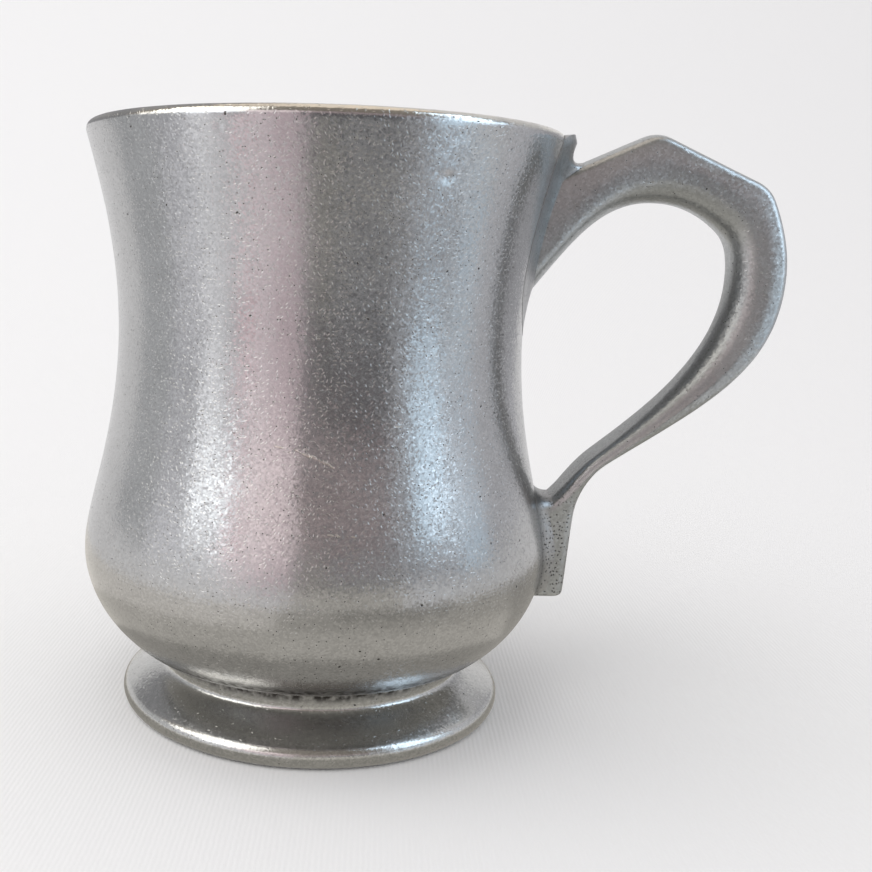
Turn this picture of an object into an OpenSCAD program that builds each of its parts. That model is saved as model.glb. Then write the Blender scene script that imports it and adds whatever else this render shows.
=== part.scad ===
// Footed metal tankard: a bell-shaped body cast in two parts, a flared hollow foot and a
// peaked strap handle, soldered together. Lengths are in millimetres. Z runs up from the
// table along the body's axis, and the handle stands out along +X.

/* [Body] */
// Height of the lip above the table
lip_h = 113.8; // [110:0.5:120]
// Outside diameter of the lip
lip_d = 91.4; // [88:0.2:96]
// How far the waist, the narrowest place, lies inside the lip
waist_in = 5.85; // [4:0.05:8]
// Height of the waist
waist_z = 76; // [72:0.5:80]
// How far the belly, the widest place, stands out past the lip
belly_out = 0.85; // [0.2:0.05:3]
// Height of the belly, where the two body castings meet
belly_z = 32; // [30:0.5:36]
// Slope of the flare at the lip, outwards from upright in degrees
lip_slope = 15.6; // [12:0.2:18]
// Slope of the belly where it meets the foot, outwards from upright in degrees
seat_slope = 55; // [48:1:60]
// Wall thickness
wall = 2.3; // [1.8:0.1:2.8]
// Thickness of the rounded lip
lip_t = 3; // [2.6:0.1:3.4]
// Height of the stretch below the lip where the wall thickens
lip_band = 14; // [8:1:20]
// Thickness of the floor
floor_t = 2.6; // [2:0.1:3.2]

/* [Foot] */
// Height of the foot up to its seam under the belly
foot_h = 13.2; // [11:0.1:15]
// Outside diameter of the foot's neck
neck_d = 61.8; // [60:0.2:64]
// Height of the upright neck under the belly
neck_h = 4.3; // [3.4:0.1:5]
// How far the foot spreads past its neck, over its bead
foot_out = 8.05; // [7:0.05:9]
// Radius of the bead that the foot stands on
bead_r = 2.2; // [1.8:0.1:2.6]
// Metal thickness of the foot at its neck
foot_t = 3; // [2.4:0.1:3.6]
// Width of the flat ring that the foot rests on
rest_w = 2; // [1.4:0.1:2.6]
// How far the belly overhangs the foot's neck
overhang = 5.3; // [4.4:0.1:6]

/* [Handle outline] */
// How far the back of the handle stands out past the lip
reach = 43.6; // [38:0.2:48]
// How far the peak stands out past the lip
peak_out = 17.2; // [14:0.2:20]
// Height of the peak above the lip
peak_up = 0.9; // [0:0.1:3]
// Rise of the top arm from the body to the peak, in degrees
peak_angle = 24.5; // [20:0.5:29]
// How far the shoulder lies inside the back
shoulder_in = 4.8; // [3:0.1:6]
// Depth of the shoulder below the lip
shoulder_drop = 8; // [6:0.1:11]
// Depth of the grip's widest place below the lip
back_drop = 25; // [22:0.5:28]
// Depth below the lip where the underside of the top arm meets the body
root_drop = 30.4; // [27:0.2:34]
// Slope of that underside, in degrees
root_angle = 49; // [44:1:54]
// How far the foot of the lower arm stands out past the belly
arm_out = 11.4; // [9:0.1:13]
// Height of the foot of the lower arm above the belly line
arm_rise = 18.6; // [17:0.2:22]
// Slope of the lower arm's back, in degrees
arm_angle = 35.5; // [31:0.5:40]
// Height of the tail's shoulder above the belly line
tail_rise = 8; // [6:0.2:10]
// Depth of the tail's end below the belly line
tail_drop = 8.4; // [6:0.2:10]

/* [Handle section] */
// Thickness under the peak
peak_t = 12.6; // [11:0.1:15]
// Thickness through the shoulder
shoulder_t = 12; // [9:0.1:13]
// Thickness of the grip at its widest place
grip_t = 10.4; // [7.5:0.1:11]
// Thickness of the strap at the foot of the lower arm
strap_t = 3.3; // [2.2:0.1:4]
// How far the tail stands off the belly at its shoulder
tail_t = 7; // [5:0.1:8]
// How far the tail stands off the belly at its end
tail_end_t = 6.6; // [4.5:0.1:7]
// Width of the top arm and grip
grip_w = 12; // [10.5:0.1:13.5]
// Width of the strap and tail
strap_w = 10.8; // [9.5:0.1:12]
// Height of the crown along the handle's back
crown = 0.8; // [0.3:0.1:1.4]
// Radius of the edges along the back
back_edge_r = 1.6; // [1:0.1:2.2]
// Radius of the edges along the inside of the top arm and grip
inner_edge_r = 5.2; // [4:0.1:5.2]
// Radius of the edges along the inside of the tail
tail_edge_r = 2.4; // [1.4:0.1:3]
// Length over which the peak and the shoulder are rounded off
corner_soft = 5.2; // [3:0.2:9]
// Radius of the outer corner at the tail's end
tail_soft = 1; // [0.5:0.1:1.6]

/* [Joints] */
// Thickness of the solder in the seams
solder = 0.12; // [0.08:0.01:0.3]
// Height of the lap where the body castings meet
lap_h = 3; // [2:0.2:4]
// Depth of the floor's register in the foot's neck
register = 1; // [0.6:0.1:1.6]
// Clearance between the handle's coped ends and the body
cope_gap = 0.04; // [0.02:0.01:0.1]
// How far the solder pad under the lip stands out from the body
pad_t = 2; // [1:0.1:2.6]
// How far that pad rises beside the rounded lip
pad_rise = 2.2; // [1.6:0.1:2.4]
// Spread of the upper joint along the top of the handle
top_spread = 5.6; // [4:0.2:8]
// Spread of the upper joint along the handle's sides
upper_spread = 1.8; // [1.4:0.1:3]
// Spread of the upper joint along the body
upper_reach = 8; // [7:0.2:10]
// Depth below the lip where that spread starts to run up to the lip
web_drop = 19; // [17:0.5:21]
// Height over which it runs up
web_h = 10; // [8:0.5:11]
// Spread of the lower joint along the handle
lower_spread = 2.4; // [1:0.1:3]
// Spread of the lower joint along the body
lower_reach = 2.6; // [1:0.1:4]
// Growth of both spreads in the crook above the tail
crook_grow = 0.7; // [0:0.1:1]
// Thickness of the solder's edge where it runs out on the body
feather = 0.12; // [0.06:0.02:0.3]

/* [Hidden] */
$fn = 96;
arc_step = 15;
PEWTER = "#8b8a88";
SOLDER = "#a3a29e";

lip_r = lip_d / 2;
waist_r = lip_r - waist_in;
belly_r = lip_r + belly_out;
neck_r = neck_d / 2;
foot_r = neck_r + foot_out;
bore_r = neck_r - foot_t;
seat_r = neck_r + overhang;
seat_z = foot_h + solder;

// Curves: a direction in the half plane, a cubic between two points, and points along it.
// A cubic leaves and reaches its points at given angles, with pulls that are shares of its chord.
function dir(angle) = [cos(angle), sin(angle)];
function unit(v) = v / norm(v);
function cubic(from, from_angle, from_pull, to, to_angle, to_pull) =
    let (chord = norm(to - from))
    [from, from + from_pull * chord * dir(from_angle), to - to_pull * chord * dir(to_angle), to];
function on_cubic(c, t) =
    c[0] * pow(1 - t, 3) + c[1] * 3 * t * pow(1 - t, 2) + c[2] * 3 * t * t * (1 - t) + c[3] * pow(t, 3);
function samples(c, steps, first = 0) = [for (i = [first : steps]) on_cubic(c, i / steps)];

// Outside of the body as [radius, height] points, from its seat on the foot up to the lip
lip_base = [lip_r, lip_h - lip_t / 2 * (1 + sin(lip_slope))];
outside = concat(
    samples(cubic([seat_r, seat_z], 90 - seat_slope, 0.37, [belly_r, belly_z], 90, 0.315), 12),
    samples(cubic([belly_r, belly_z], 90, 0.2, [waist_r, waist_z], 90, 0.48), 14, 1),
    samples(cubic([waist_r, waist_z], 90, 0.36, lip_base, 90 - lip_slope, 0.33), 10, 1));
outside_by_z = [for (p = outside) [p[1], p[0]]];
function body_r(z) = lookup(z, outside_by_z);

// Inside of the body: the outside moved in by the wall, which thickens towards the lip
last = len(outside) - 1;
function tangent(i) = unit(outside[min(i + 1, last)] - outside[max(i - 1, 0)]);
function smooth(t) = let (s = max(0, min(1, t))) s * s * (3 - 2 * s);
function wall_at(z) = wall + (lip_t - wall) * smooth((z - lip_base[1] + lip_band) / lip_band);
inside = [for (i = [0 : last])
    outside[i] + wall_at(outside[i][1]) * [-tangent(i)[1], tangent(i)[0]]];
inside_by_z = [for (p = inside) [p[1], p[0]]];
function cavity_r(z) = lookup(z, inside_by_z);

under_z = foot_h - register;
floor_z = under_z + floor_t;
lap_r = belly_r - wall / 2;
lap_z = belly_z + lap_h;
register_r = bore_r - solder;

function reversed(list) = [for (i = [len(list) - 1 : -1 : 0]) list[i]];
function between(list, low, high) = [for (p = list) if (p[1] > low && p[1] < high) p];

module turned(points) {
    rotate_extrude() polygon(points);
}

// Upper casting: lip, flare, waist and the shoulder of the belly, with a rebate at its lower edge
module upper_body() {
    lip_mid = (lip_base + inside[last]) / 2;
    lip_half = norm(lip_base - inside[last]) / 2;
    lip_turn = atan2(lip_base[1] - inside[last][1], lip_base[0] - inside[last][0]);
    edge_z = belly_z + solder;
    step_z = lap_z + solder;
    step_r = lap_r + solder;
    color(PEWTER) turned(concat(
        [[step_r, edge_z], [body_r(edge_z), edge_z]],
        between(outside, edge_z, lip_h),
        [for (a = [arc_step : arc_step : 180 - arc_step]) lip_mid + lip_half * dir(lip_turn + a)],
        reversed(between(inside, step_z, lip_h)),
        [[cavity_r(step_z), step_z], [step_r, step_z]]));
}

// Lower casting: the rounded belly and the floor, with a tongue inside the upper casting's rebate
module lower_bowl() {
    corner = inside[0];
    run = (corner[1] - floor_z) * tan(seat_slope);
    knee = floor_z < corner[1] ? [corner, [corner[0] - run, floor_z]] : [[cavity_r(floor_z), floor_z]];
    color(PEWTER) turned(concat(
        [[0, under_z], [register_r, under_z], [register_r, seat_z]],
        between(outside, seat_z - solder, belly_z),
        [[belly_r, belly_z], [lap_r, belly_z], [lap_r, lap_z], [cavity_r(lap_z), lap_z]],
        reversed(between(inside, max(corner[1], floor_z), lap_z)),
        knee, [[0, floor_z]]));
}

// Solder layer that fills the stepped seam between the two castings
module belly_seam() {
    color(SOLDER) turned([
        [lap_r, belly_z], [belly_r, belly_z],
        [body_r(belly_z + solder), belly_z + solder], [lap_r + solder, belly_z + solder],
        [lap_r + solder, lap_z + solder], [cavity_r(lap_z + solder), lap_z + solder],
        [cavity_r(lap_z), lap_z], [lap_r, lap_z]]);
}

// Solder layer between the belly's seat and the foot, and round the floor's register
module foot_seam() {
    color(SOLDER) turned([
        [register_r, under_z], [bore_r, under_z], [bore_r, foot_h],
        [neck_r, foot_h], [neck_r, seat_z], [register_r, seat_z]]);
}

// Hollow foot: an upright neck, a flat cone out to a rounded bead and a flat resting ring
module foot_ring() {
    bead = [foot_r - bead_r, bead_r];
    bead_top = 60;
    cone = cubic([neck_r, foot_h - neck_h], -90, 0.16,
                 bead + bead_r * dir(bead_top), bead_top - 90, 0.77);
    color(PEWTER) turned(concat(
        [[neck_r, foot_h]], samples(cone, 12),
        [for (a = [bead_top - arc_step : -arc_step : -90]) bead + bead_r * dir(a)],
        [[bead[0] - rest_w, 0], [bead[0] - rest_w, bead_r],
         [bore_r, foot_h - foot_t - 2 * register], [bore_r, foot_h]]));
}

// Handle: the line along its back and the line along its inside, both in the XZ plane.
// Station 0 is the root, 1 the peak, 2 the shoulder, 3 the back, 4 the arm's foot,
// 5 the tail's shoulder and 6 the tail's end.
into_wall = wall + tail_edge_r;
peak_lift = corner_soft / 8;
peak = [lip_r + peak_out, lip_h + peak_up + peak_lift];
root_top_x = body_r(lip_h - shoulder_drop) - into_wall;
root_top = [root_top_x, peak[1] - (peak[0] - root_top_x) * tan(peak_angle)];
shoulder = [lip_r + reach - shoulder_in, lip_h - shoulder_drop];
back = [lip_r + reach, lip_h - back_drop];
arm = [belly_r + arm_out, belly_z + arm_rise];
tail = [body_r(belly_z + tail_rise) + tail_t, belly_z + tail_rise];
tail_end = [body_r(belly_z - tail_drop) + tail_end_t, belly_z - tail_drop];

top_fall = atan2(shoulder[1] - peak[1], shoulder[0] - peak[0]);
shoulder_turn = -62;
arm_turn = arm_angle - 180;
tail_fall = -95;
back_spans = [
    cubic(root_top, peak_angle, 0.33, peak, peak_angle, 0.33),
    cubic(peak, top_fall, 0.33, shoulder, top_fall, 0.33),
    cubic(shoulder, shoulder_turn, 0.33, back, -90, 0.33),
    cubic(back, -90, 0.38, arm, arm_turn, 0.44),
    cubic(arm, arm_turn, 0.36, tail, tail_fall, 0.34),
    cubic(tail, tail_fall, 0.33, tail_end, tail_fall, 0.33)];

shoulder_in_turn = (top_fall + shoulder_turn) / 2;
inner_arm_turn = arm_turn + 5;
peak_in_rise = 2;
crook_turn = -162;
root_low_z = lip_h - root_drop;
root_low = [body_r(root_low_z), root_low_z] - into_wall * dir(root_angle);
peak_in = peak - [0, peak_t + peak_lift];
shoulder_inner = shoulder - shoulder_t * dir(shoulder_in_turn + 90);
back_in = back - [grip_t, 0];
arm_in = arm - strap_t * dir(arm_turn + 90);
tail_in = [body_r(tail[1]) - into_wall, tail[1]];
tail_end_in = [body_r(tail_end[1]) - into_wall, tail_end[1]];
inner_spans = [
    cubic(root_low, root_angle, 0.42, peak_in, peak_in_rise, 0.34),
    cubic(peak_in, peak_in_rise, 0.36, shoulder_inner, shoulder_in_turn, 0.36),
    cubic(shoulder_inner, shoulder_in_turn, 0.36, back_in, -90, 0.36),
    cubic(back_in, -90, 0.32, arm_in, inner_arm_turn, 0.4),
    cubic(arm_in, inner_arm_turn, 0.46, tail_in, crook_turn, 0.44),
    cubic(tail_in, -90, 0.33, tail_end_in, -90, 0.33)];

function on_spans(spans, u) = let (i = min(floor(u), len(spans) - 1)) on_cubic(spans[i], u - i);
function inner_line(u) = on_spans(inner_spans, u);

// The back turns sharply at stations 1 and 2, where a short curve rounds it off, and a quarter
// round ends the tail
end_station = len(back_spans);
tail_soft_at = end_station - tail_soft / norm(tail_end - tail);
function soft_at(n) = corner_soft / 2 / norm(back_spans[n][3] - back_spans[n][0]);
function rounded(n, u) =
    let (low = n - soft_at(n - 1), high = n + soft_at(n), t = (u - low) / (high - low))
    on_spans(back_spans, low) * pow(1 - t, 2) + on_spans(back_spans, n) * 2 * t * (1 - t)
    + on_spans(back_spans, high) * t * t;
function in_corner(n, u) = u > n - soft_at(n - 1) && u < n + soft_at(n);
function tail_turn(u) = max(0, u - tail_soft_at) / (end_station - tail_soft_at);
function back_line(u) = in_corner(1, u) ? rounded(1, u) : in_corner(2, u) ? rounded(2, u)
    : on_spans(back_spans, u) - [tail_soft * (1 - sqrt(1 - pow(tail_turn(u), 2))), 0];

// Section of the handle as [distance from the inside line, offset along Y] points: a rounded
// inside, flat sides and a crowned back. It is the same both sides of Y = 0, and where the strap
// is thin its edges and its crown keep to a share of the thickness.
inner_share = 0.5;
back_share = 0.24;
function section(thick, wide, edge) =
    let (r_in = min(edge, inner_share * thick), r_back = min(back_edge_r, back_share * thick),
         half = wide / 2, rim = thick - min(crown, back_share * thick),
         right = concat(
             [for (a = [0 : 22.5 : 90]) [r_in * (1 - cos(a)), half - r_in * (1 - sin(a))]],
             [for (a = [0 : 45 : 90]) [rim - r_back * (1 - sin(a)), half - r_back * (1 - cos(a))]],
             [[thick - (thick - rim) / 4, half / 2]]))
    concat([[0, 0]], right, [[thick, 0]], [for (p = reversed(right)) [p[0], -p[1]]]);
sides = len(section(grip_t, grip_w, inner_edge_r));

// The handle narrows from the grip's width to the strap's between these stations, and after them
// its inside edges are the tail's
narrow_stations = [2.5, 4];
function width_at(u) = strap_w + (grip_w - strap_w)
    * smooth((narrow_stations[1] - u) / (narrow_stations[1] - narrow_stations[0]));
function ring(u) =
    let (low = inner_line(u), high = back_line(u), thick = norm(high - low), d = (high - low) / thick)
    [for (s = section(thick, width_at(u), u < narrow_stations[1] ? inner_edge_r : tail_edge_r))
        [low[0] + s[0] * d[0], s[1], low[1] + s[0] * d[1]]];

span_steps = [6, 8, 6, 14, 12, 4];
stations = concat(
    [for (i = [0 : len(span_steps) - 1], k = [0 : span_steps[i] - 1]) i + k / span_steps[i]],
    [for (n = [1, 2], side = [-1, -0.5, 0.5, 1]) n + side * soft_at(side < 0 ? n - 1 : n)],
    [for (a = [0 : 30 : 90]) tail_soft_at + (end_station - tail_soft_at) * sin(a)]);
function sorted(list) = len(list) < 2 ? list
    : let (mid = list[floor(len(list) / 2)])
      concat(sorted([for (v = list) if (v < mid) v]), [mid], sorted([for (v = list) if (v > mid) v]));

// Solid between rings of equal length: open tubes get flat ends, closed tubes join up
module tube(rings, closed = false) {
    n = len(rings[0]);
    count = len(rings);
    bands = closed ? count : count - 1;
    walls = [for (i = [0 : bands - 1], k = [0 : n - 1])
        let (a = i * n + k, b = i * n + (k + 1) % n, j = (i + 1) % count, c = j * n + k,
             d = j * n + (k + 1) % n)
        each [[a, d, b], [a, c, d]]];
    ends = closed ? [] : [[for (k = [0 : n - 1]) k], [for (k = [n - 1 : -1 : 0]) (count - 1) * n + k]];
    polyhedron([for (r = rings) each r], concat(walls, ends));
}

// The body's full outer form near the handle, which copes the handle's ends with a clearance
cope_half = 30;
cope_top = peak[1] + grip_w;
module body_form() {
    rotate_extrude(angle = 2 * cope_half, start = -cope_half) polygon(concat(
        [[0, seat_z]], [for (p = outside) p + [cope_gap, 0]],
        [[lip_r + cope_gap, cope_top], [0, cope_top]]));
}

module handle() {
    color(PEWTER) difference() {
        tube([for (u = sorted(stations)) ring(u)]);
        body_form();
    }
}

// Solder fillets run round the line where the handle meets the body. Each ring of a fillet has
// its corner on that line, an edge on the body, an edge on the handle and a hollow face between.
probe = cope_gap;
function off_body(p) = norm([p[0], p[1]]) - body_r(p[2]) - cope_gap;
function onto_body(p) =
    let (grow = (body_r(p[2]) + cope_gap) / norm([p[0], p[1]])) [p[0] * grow, p[1] * grow, p[2]];
function body_normal(p) =
    let (slope = (body_r(p[2] + probe) - body_r(p[2] - probe)) / (2 * probe))
    unit([p[0], p[1], -slope * norm([p[0], p[1]])]);
function middle(points) = [for (p = points) 1] * points / len(points);

// Station between two others where line k of the handle's surface passes through the body
function crossing(k, buried, clear, tries = 24) =
    let (mid = (buried + clear) / 2)
    tries == 0 ? mid
    : off_body(ring(mid)[k]) < 0 ? crossing(k, mid, clear, tries - 1)
    : crossing(k, buried, mid, tries - 1);
// Point between two others, one inside the body and one outside, where the line leaves it
function leaving(buried, clear, tries = 24) =
    let (mid = (buried + clear) / 2)
    tries == 0 ? mid : off_body(mid) < 0 ? leaving(mid, clear, tries - 1) : leaving(buried, mid, tries - 1);

// A loop lists the joint's corners as [corner, direction along the handle]
function away(loop, k) =
    let (n = len(loop), along = loop[(k + 1) % n][0] - loop[(k + n - 1) % n][0],
         out = unit(cross(along, body_normal(loop[k][0]))),
         from_mid = loop[k][0] - middle([for (l = loop) l[0]]))
    out * from_mid > 0 ? out : -out;
// Ring from the corner along the body to the solder's edge, over its hollow face to the handle
seat_steps = 4;
hollow_share = 0.55;
function fillet_ring(corner, on_body, crest, edge, on_handle) =
    let (pull = corner * hollow_share + (edge + on_handle) * (1 - hollow_share) / 2)
    concat([for (i = [0 : seat_steps]) onto_body(corner + (on_body - corner) * i / seat_steps)], crest,
        [for (t = [0 : 0.25 : 1]) edge * pow(1 - t, 2) + pull * 2 * t * (1 - t) + on_handle * t * t]);

// Round the upper end, built up on top into a pad that wraps over the lip's round edge and falls
// from a crest to a lower edge further out
crest_out = 0.8;
edge_up = 0.35;
wrap_turn = 75;
wrap_steps = 4;
function lip_wrap(on_body, share) =
    let (across = unit([on_body[0], on_body[1], 0]), r = lip_t / 2 + 2 * cope_gap)
    [for (i = [1 : wrap_steps]) let (turn = share * wrap_turn * i / wrap_steps - lip_slope)
        on_body + r * (cos(turn) - cos(lip_slope)) * across + [0, 0, r * (sin(turn) + sin(lip_slope))]];
root_stations = [0, 0.9];
station_step = 0.05;
module upper_handle_joint() {
    loop = [for (k = [0 : sides - 1])
        let (u = crossing(k, root_stations[0], root_stations[1]), corner = ring(u)[k])
        [corner, unit(ring(u + station_step)[k] - corner)]];
    color(SOLDER) tube([for (k = [sides - 1 : -1 : 0])
        let (corner = loop[k][0], out = away(loop, k), up = smooth(out[2]),
             web = smooth((corner[2] - lip_h + web_drop) / web_h),
             spot = corner + upper_reach * out,
             on_body = onto_body([spot[0], spot[1], spot[2] + (lip_base[1] - spot[2]) * web]),
             handle_spread = upper_spread * (1 - up) + top_spread * up,
             out_step = (feather + pad_t * up * up) * body_normal(on_body), rise = [0, 0, pad_rise * up])
        fillet_ring(corner, on_body,
                    concat(lip_wrap(on_body, max(up, 0.02)), [on_body + crest_out * out_step + rise]),
                    on_body + out_step + edge_up * rise, corner + handle_spread * loop[k][1])], true);
}

// Up one side of the tail, through the crook under the arm, down the other side and across the end
edge_in = 5;
edge_back = 6;
crook_stations = [5, 4.2];
end_share = 0.2;
function flipped(p) = [p[0], -p[1], p[2]];
module lower_handle_joint() {
    crook_lines = [each [edge_in : -1 : 0], each [sides - 1 : -1 : sides - edge_in]];
    crook = [for (k = crook_lines)
        let (u = crossing(k, crook_stations[0], crook_stations[1]), corner = ring(u)[k])
        [corner, unit(ring(u - station_step)[k] - corner)]];
    side = [for (u = [end_station : -0.2 : crook_stations[0] + 0.2]) let (r = ring(u))
        [leaving(r[edge_in], r[edge_back]), unit(r[edge_back] - r[edge_in])]];
    half = side[0][0][1];
    end = [for (share = [-0.6 : 0.4 : 0.6])
        [onto_body([tail_end[0], share * half, tail_end[1]]), [1, 0, 0]]];
    loop = concat(side, crook, [for (l = reversed(side)) [flipped(l[0]), flipped(l[1])]], end);
    color(SOLDER) tube([for (k = [len(loop) - 1 : -1 : 0])
        let (corner = loop[k][0], out = away(loop, k), low = smooth(-out[2]),
             grow = 1 - low * (1 - end_share) + crook_grow * smooth(out[2]))
        let (on_body = onto_body(corner + lower_reach * grow * out))
        fillet_ring(corner, on_body, [], on_body + feather * body_normal(on_body),
                    corner + lower_spread * grow * loop[k][1])], true);
}

upper_body();
belly_seam();
lower_bowl();
foot_seam();
foot_ring();
handle();
upper_handle_joint();
lower_handle_joint();
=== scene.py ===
"""Footed pewter tankard: a bell-shaped cast body, a hollow foot and a peaked strap handle."""

import math

import bmesh
import bpy
import numpy as np
from mathutils import Matrix, Vector


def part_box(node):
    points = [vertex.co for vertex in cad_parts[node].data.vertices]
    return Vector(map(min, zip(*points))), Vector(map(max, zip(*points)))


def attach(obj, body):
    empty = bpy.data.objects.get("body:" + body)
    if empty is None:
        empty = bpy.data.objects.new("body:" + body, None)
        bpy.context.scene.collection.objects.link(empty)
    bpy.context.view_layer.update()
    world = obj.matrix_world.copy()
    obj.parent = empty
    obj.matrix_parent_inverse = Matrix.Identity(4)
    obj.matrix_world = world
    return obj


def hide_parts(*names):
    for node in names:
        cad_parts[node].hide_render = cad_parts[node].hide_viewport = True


bl_info = {
    "name": "Pewter tankard",
    "version": (1, 0, 0),
    "blender": (4, 5, 0),
    "location": "View3D > Sidebar > Tankard",
    "description": "Builds a footed cast pewter tankard, its soldered joints and a plain studio",
    "category": "Add Mesh",
}

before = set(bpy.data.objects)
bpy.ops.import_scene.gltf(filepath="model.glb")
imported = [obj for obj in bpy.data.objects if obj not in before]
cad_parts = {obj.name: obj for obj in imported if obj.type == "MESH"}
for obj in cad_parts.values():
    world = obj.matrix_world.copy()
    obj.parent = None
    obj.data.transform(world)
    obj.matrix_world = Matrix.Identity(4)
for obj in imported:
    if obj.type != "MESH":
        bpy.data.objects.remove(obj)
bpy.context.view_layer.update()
MM = 0.001
BODY = "root"


def linear(code):
    """Linear red, green and blue of an sRGB hex colour."""
    parts = [int(code[i : i + 2], 16) / 255 for i in (1, 3, 5)]
    return tuple(c / 12.92 if c <= 0.04045 else ((c + 0.055) / 1.055) ** 2.4 for c in parts)


def size(name, description, mm):
    """A length property, given in millimetres and kept in metres."""
    return bpy.props.FloatProperty(
        name=name, description=description, default=mm * MM, unit="LENGTH", precision=5
    )


def angle(name, description, degrees):
    """An angle property, given in degrees and kept in radians."""
    return bpy.props.FloatProperty(
        name=name, description=description, default=math.radians(degrees), subtype="ANGLE"
    )


def share(name, description, value):
    """A property from 0 to 1."""
    return bpy.props.FloatProperty(
        name=name, description=description, default=value, min=0.0, max=1.0, subtype="FACTOR"
    )


def colour(name, description, code):
    """A colour property, given as sRGB hex and kept linear."""
    return bpy.props.FloatVectorProperty(
        name=name, description=description, default=linear(code), subtype="COLOR", min=0.0, max=1.0
    )


LIP_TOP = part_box("upper_body")[1].z / MM
BELLY_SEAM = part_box("belly_seam")[0].z / MM
BELLY_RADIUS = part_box("lower_bowl")[1].x / MM
FOOT_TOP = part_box("foot_ring")[1].z / MM
FOOT_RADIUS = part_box("foot_ring")[1].x / MM
HANDLE_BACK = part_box("handle")[1].x / MM
HANDLE_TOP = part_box("handle")[1].z / MM
TAIL_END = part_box("handle")[0].z / MM


class TankardBody(bpy.types.PropertyGroup):
    """Half section of the body and the foot."""

    lip_height: size("Lip height", "Height of the lip above the table", LIP_TOP)
    lip_radius: size("Lip radius", "Outside radius of the lip", 45.7)
    waist_radius: size("Waist radius", "Outside radius of the waist", 39.85)
    waist_height: size("Waist height", "Height of the waist", 76.0)
    belly_radius: size("Belly radius", "Outside radius of the belly", BELLY_RADIUS)
    belly_height: size("Belly height", "Height where the body castings meet", BELLY_SEAM)
    lip_slope: angle("Lip slope", "Slope of the flare at the lip, from upright", 15.6)
    seat_slope: angle("Seat slope", "Slope of the belly at the foot, from upright", 55.0)
    wall: size("Wall", "Wall thickness of the body", 2.3)
    lip_wall: size("Lip wall", "Thickness of the rounded lip", 3.0)
    lip_band: size("Lip band", "Height below the lip where the wall thickens", 14.0)
    floor_wall: size("Floor", "Thickness of the floor", 2.6)
    lap: size("Lap", "Height of the lap between the castings", 3.0)
    solder: size("Solder", "Thickness of the solder in the seams", 0.12)
    register: size("Register", "Depth of the floor's register in the foot", 1.0)
    overhang: size("Overhang", "How far the belly overhangs the foot's neck", 5.3)
    foot_height: size("Foot height", "Height of the foot up to its seam", FOOT_TOP)
    foot_radius: size("Foot radius", "Radius of the foot over its bead", FOOT_RADIUS)
    neck_radius: size("Neck radius", "Outside radius of the foot's neck", 30.9)
    neck_height: size("Neck height", "Height of the foot's upright neck", 4.3)
    bead_radius: size("Bead radius", "Radius of the bead round the foot", 2.2)
    foot_wall: size("Foot wall", "Metal thickness of the foot at its neck", 3.0)
    rest_width: size("Rest width", "Width of the flat ring that the foot stands on", 2.0)
    skin_depth: size("Skin depth", "Unevenness of the cast surface", 0.09)
    skin_size: size("Skin size", "Width of the uneven places", 9.0)
    dent_radius: size("Dent radius", "Radius of the small dent below the lip", 1.4)
    dent_depth: size("Dent depth", "Depth of the small dent below the lip", 0.26)
    nick_radius: size("Nick radius", "Radius of the nick near the lip", 1.1)
    nick_depth: size("Nick depth", "Depth of the nick near the lip", 0.16)


class TankardHandle(bpy.types.PropertyGroup):
    """Outline and section of the handle, in its own plane."""

    peak_out: size("Peak reach", "How far the peak stands out past the lip", 17.2)
    peak_angle: angle("Peak angle", "Rise of the top arm to the peak", 24.5)
    shoulder_in: size("Shoulder inset", "How far the shoulder lies inside the back", 4.8)
    shoulder_drop: size("Shoulder drop", "Depth of the shoulder below the lip", 8.0)
    back_drop: size("Back drop", "Depth of the widest place below the lip", 25.0)
    root_drop: size("Root drop", "Depth below the lip of the top arm's underside", 30.4)
    root_angle: angle("Root angle", "Slope of that underside", 49.0)
    arm_out: size("Arm reach", "How far the lower arm's foot stands out past the belly", 11.4)
    arm_rise: size("Arm rise", "Height of the lower arm's foot above the belly line", 18.6)
    arm_angle: angle("Arm angle", "Slope of the lower arm's back", 35.5)
    tail_rise: size("Tail rise", "Height of the tail's shoulder above the belly line", 8.0)
    peak_thick: size("Peak thickness", "Thickness under the peak", 12.6)
    shoulder_thick: size("Shoulder thickness", "Thickness through the shoulder", 12.0)
    grip_thick: size("Grip thickness", "Thickness of the grip at its widest place", 10.4)
    strap_thick: size("Strap thickness", "Thickness at the lower arm's foot", 3.3)
    tail_thick: size("Tail thickness", "How far the tail stands off at its shoulder", 7.0)
    tail_end_thick: size("Tail end thickness", "How far the tail stands off at its end", 6.6)
    grip_width: size("Grip width", "Width of the top arm and the grip", 12.0)
    strap_width: size("Strap width", "Width of the strap and the tail", 10.8)
    crown: size("Crown", "Height of the crown along the back", 0.8)
    back_edge: size("Back edge", "Radius of the edges along the back", 1.6)
    inner_edge: size("Inner edge", "Radius of the edges along the inside of the grip", 5.2)
    tail_edge: size("Tail edge", "Radius of the edges along the inside of the tail", 2.4)
    swell: size("Swell", "How far the sides swell between their edges", 0.18)
    corner_soft: size("Soft corner", "Length that rounds off the peak and the shoulder", 5.2)
    tail_soft: size("Soft tail", "Radius of the edges round the tail's end", 1.0)
    skin_depth: size("Skin depth", "Unevenness of the cast surface", 0.09)
    skin_size: size("Skin size", "Width of the uneven places", 6.0)


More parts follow.
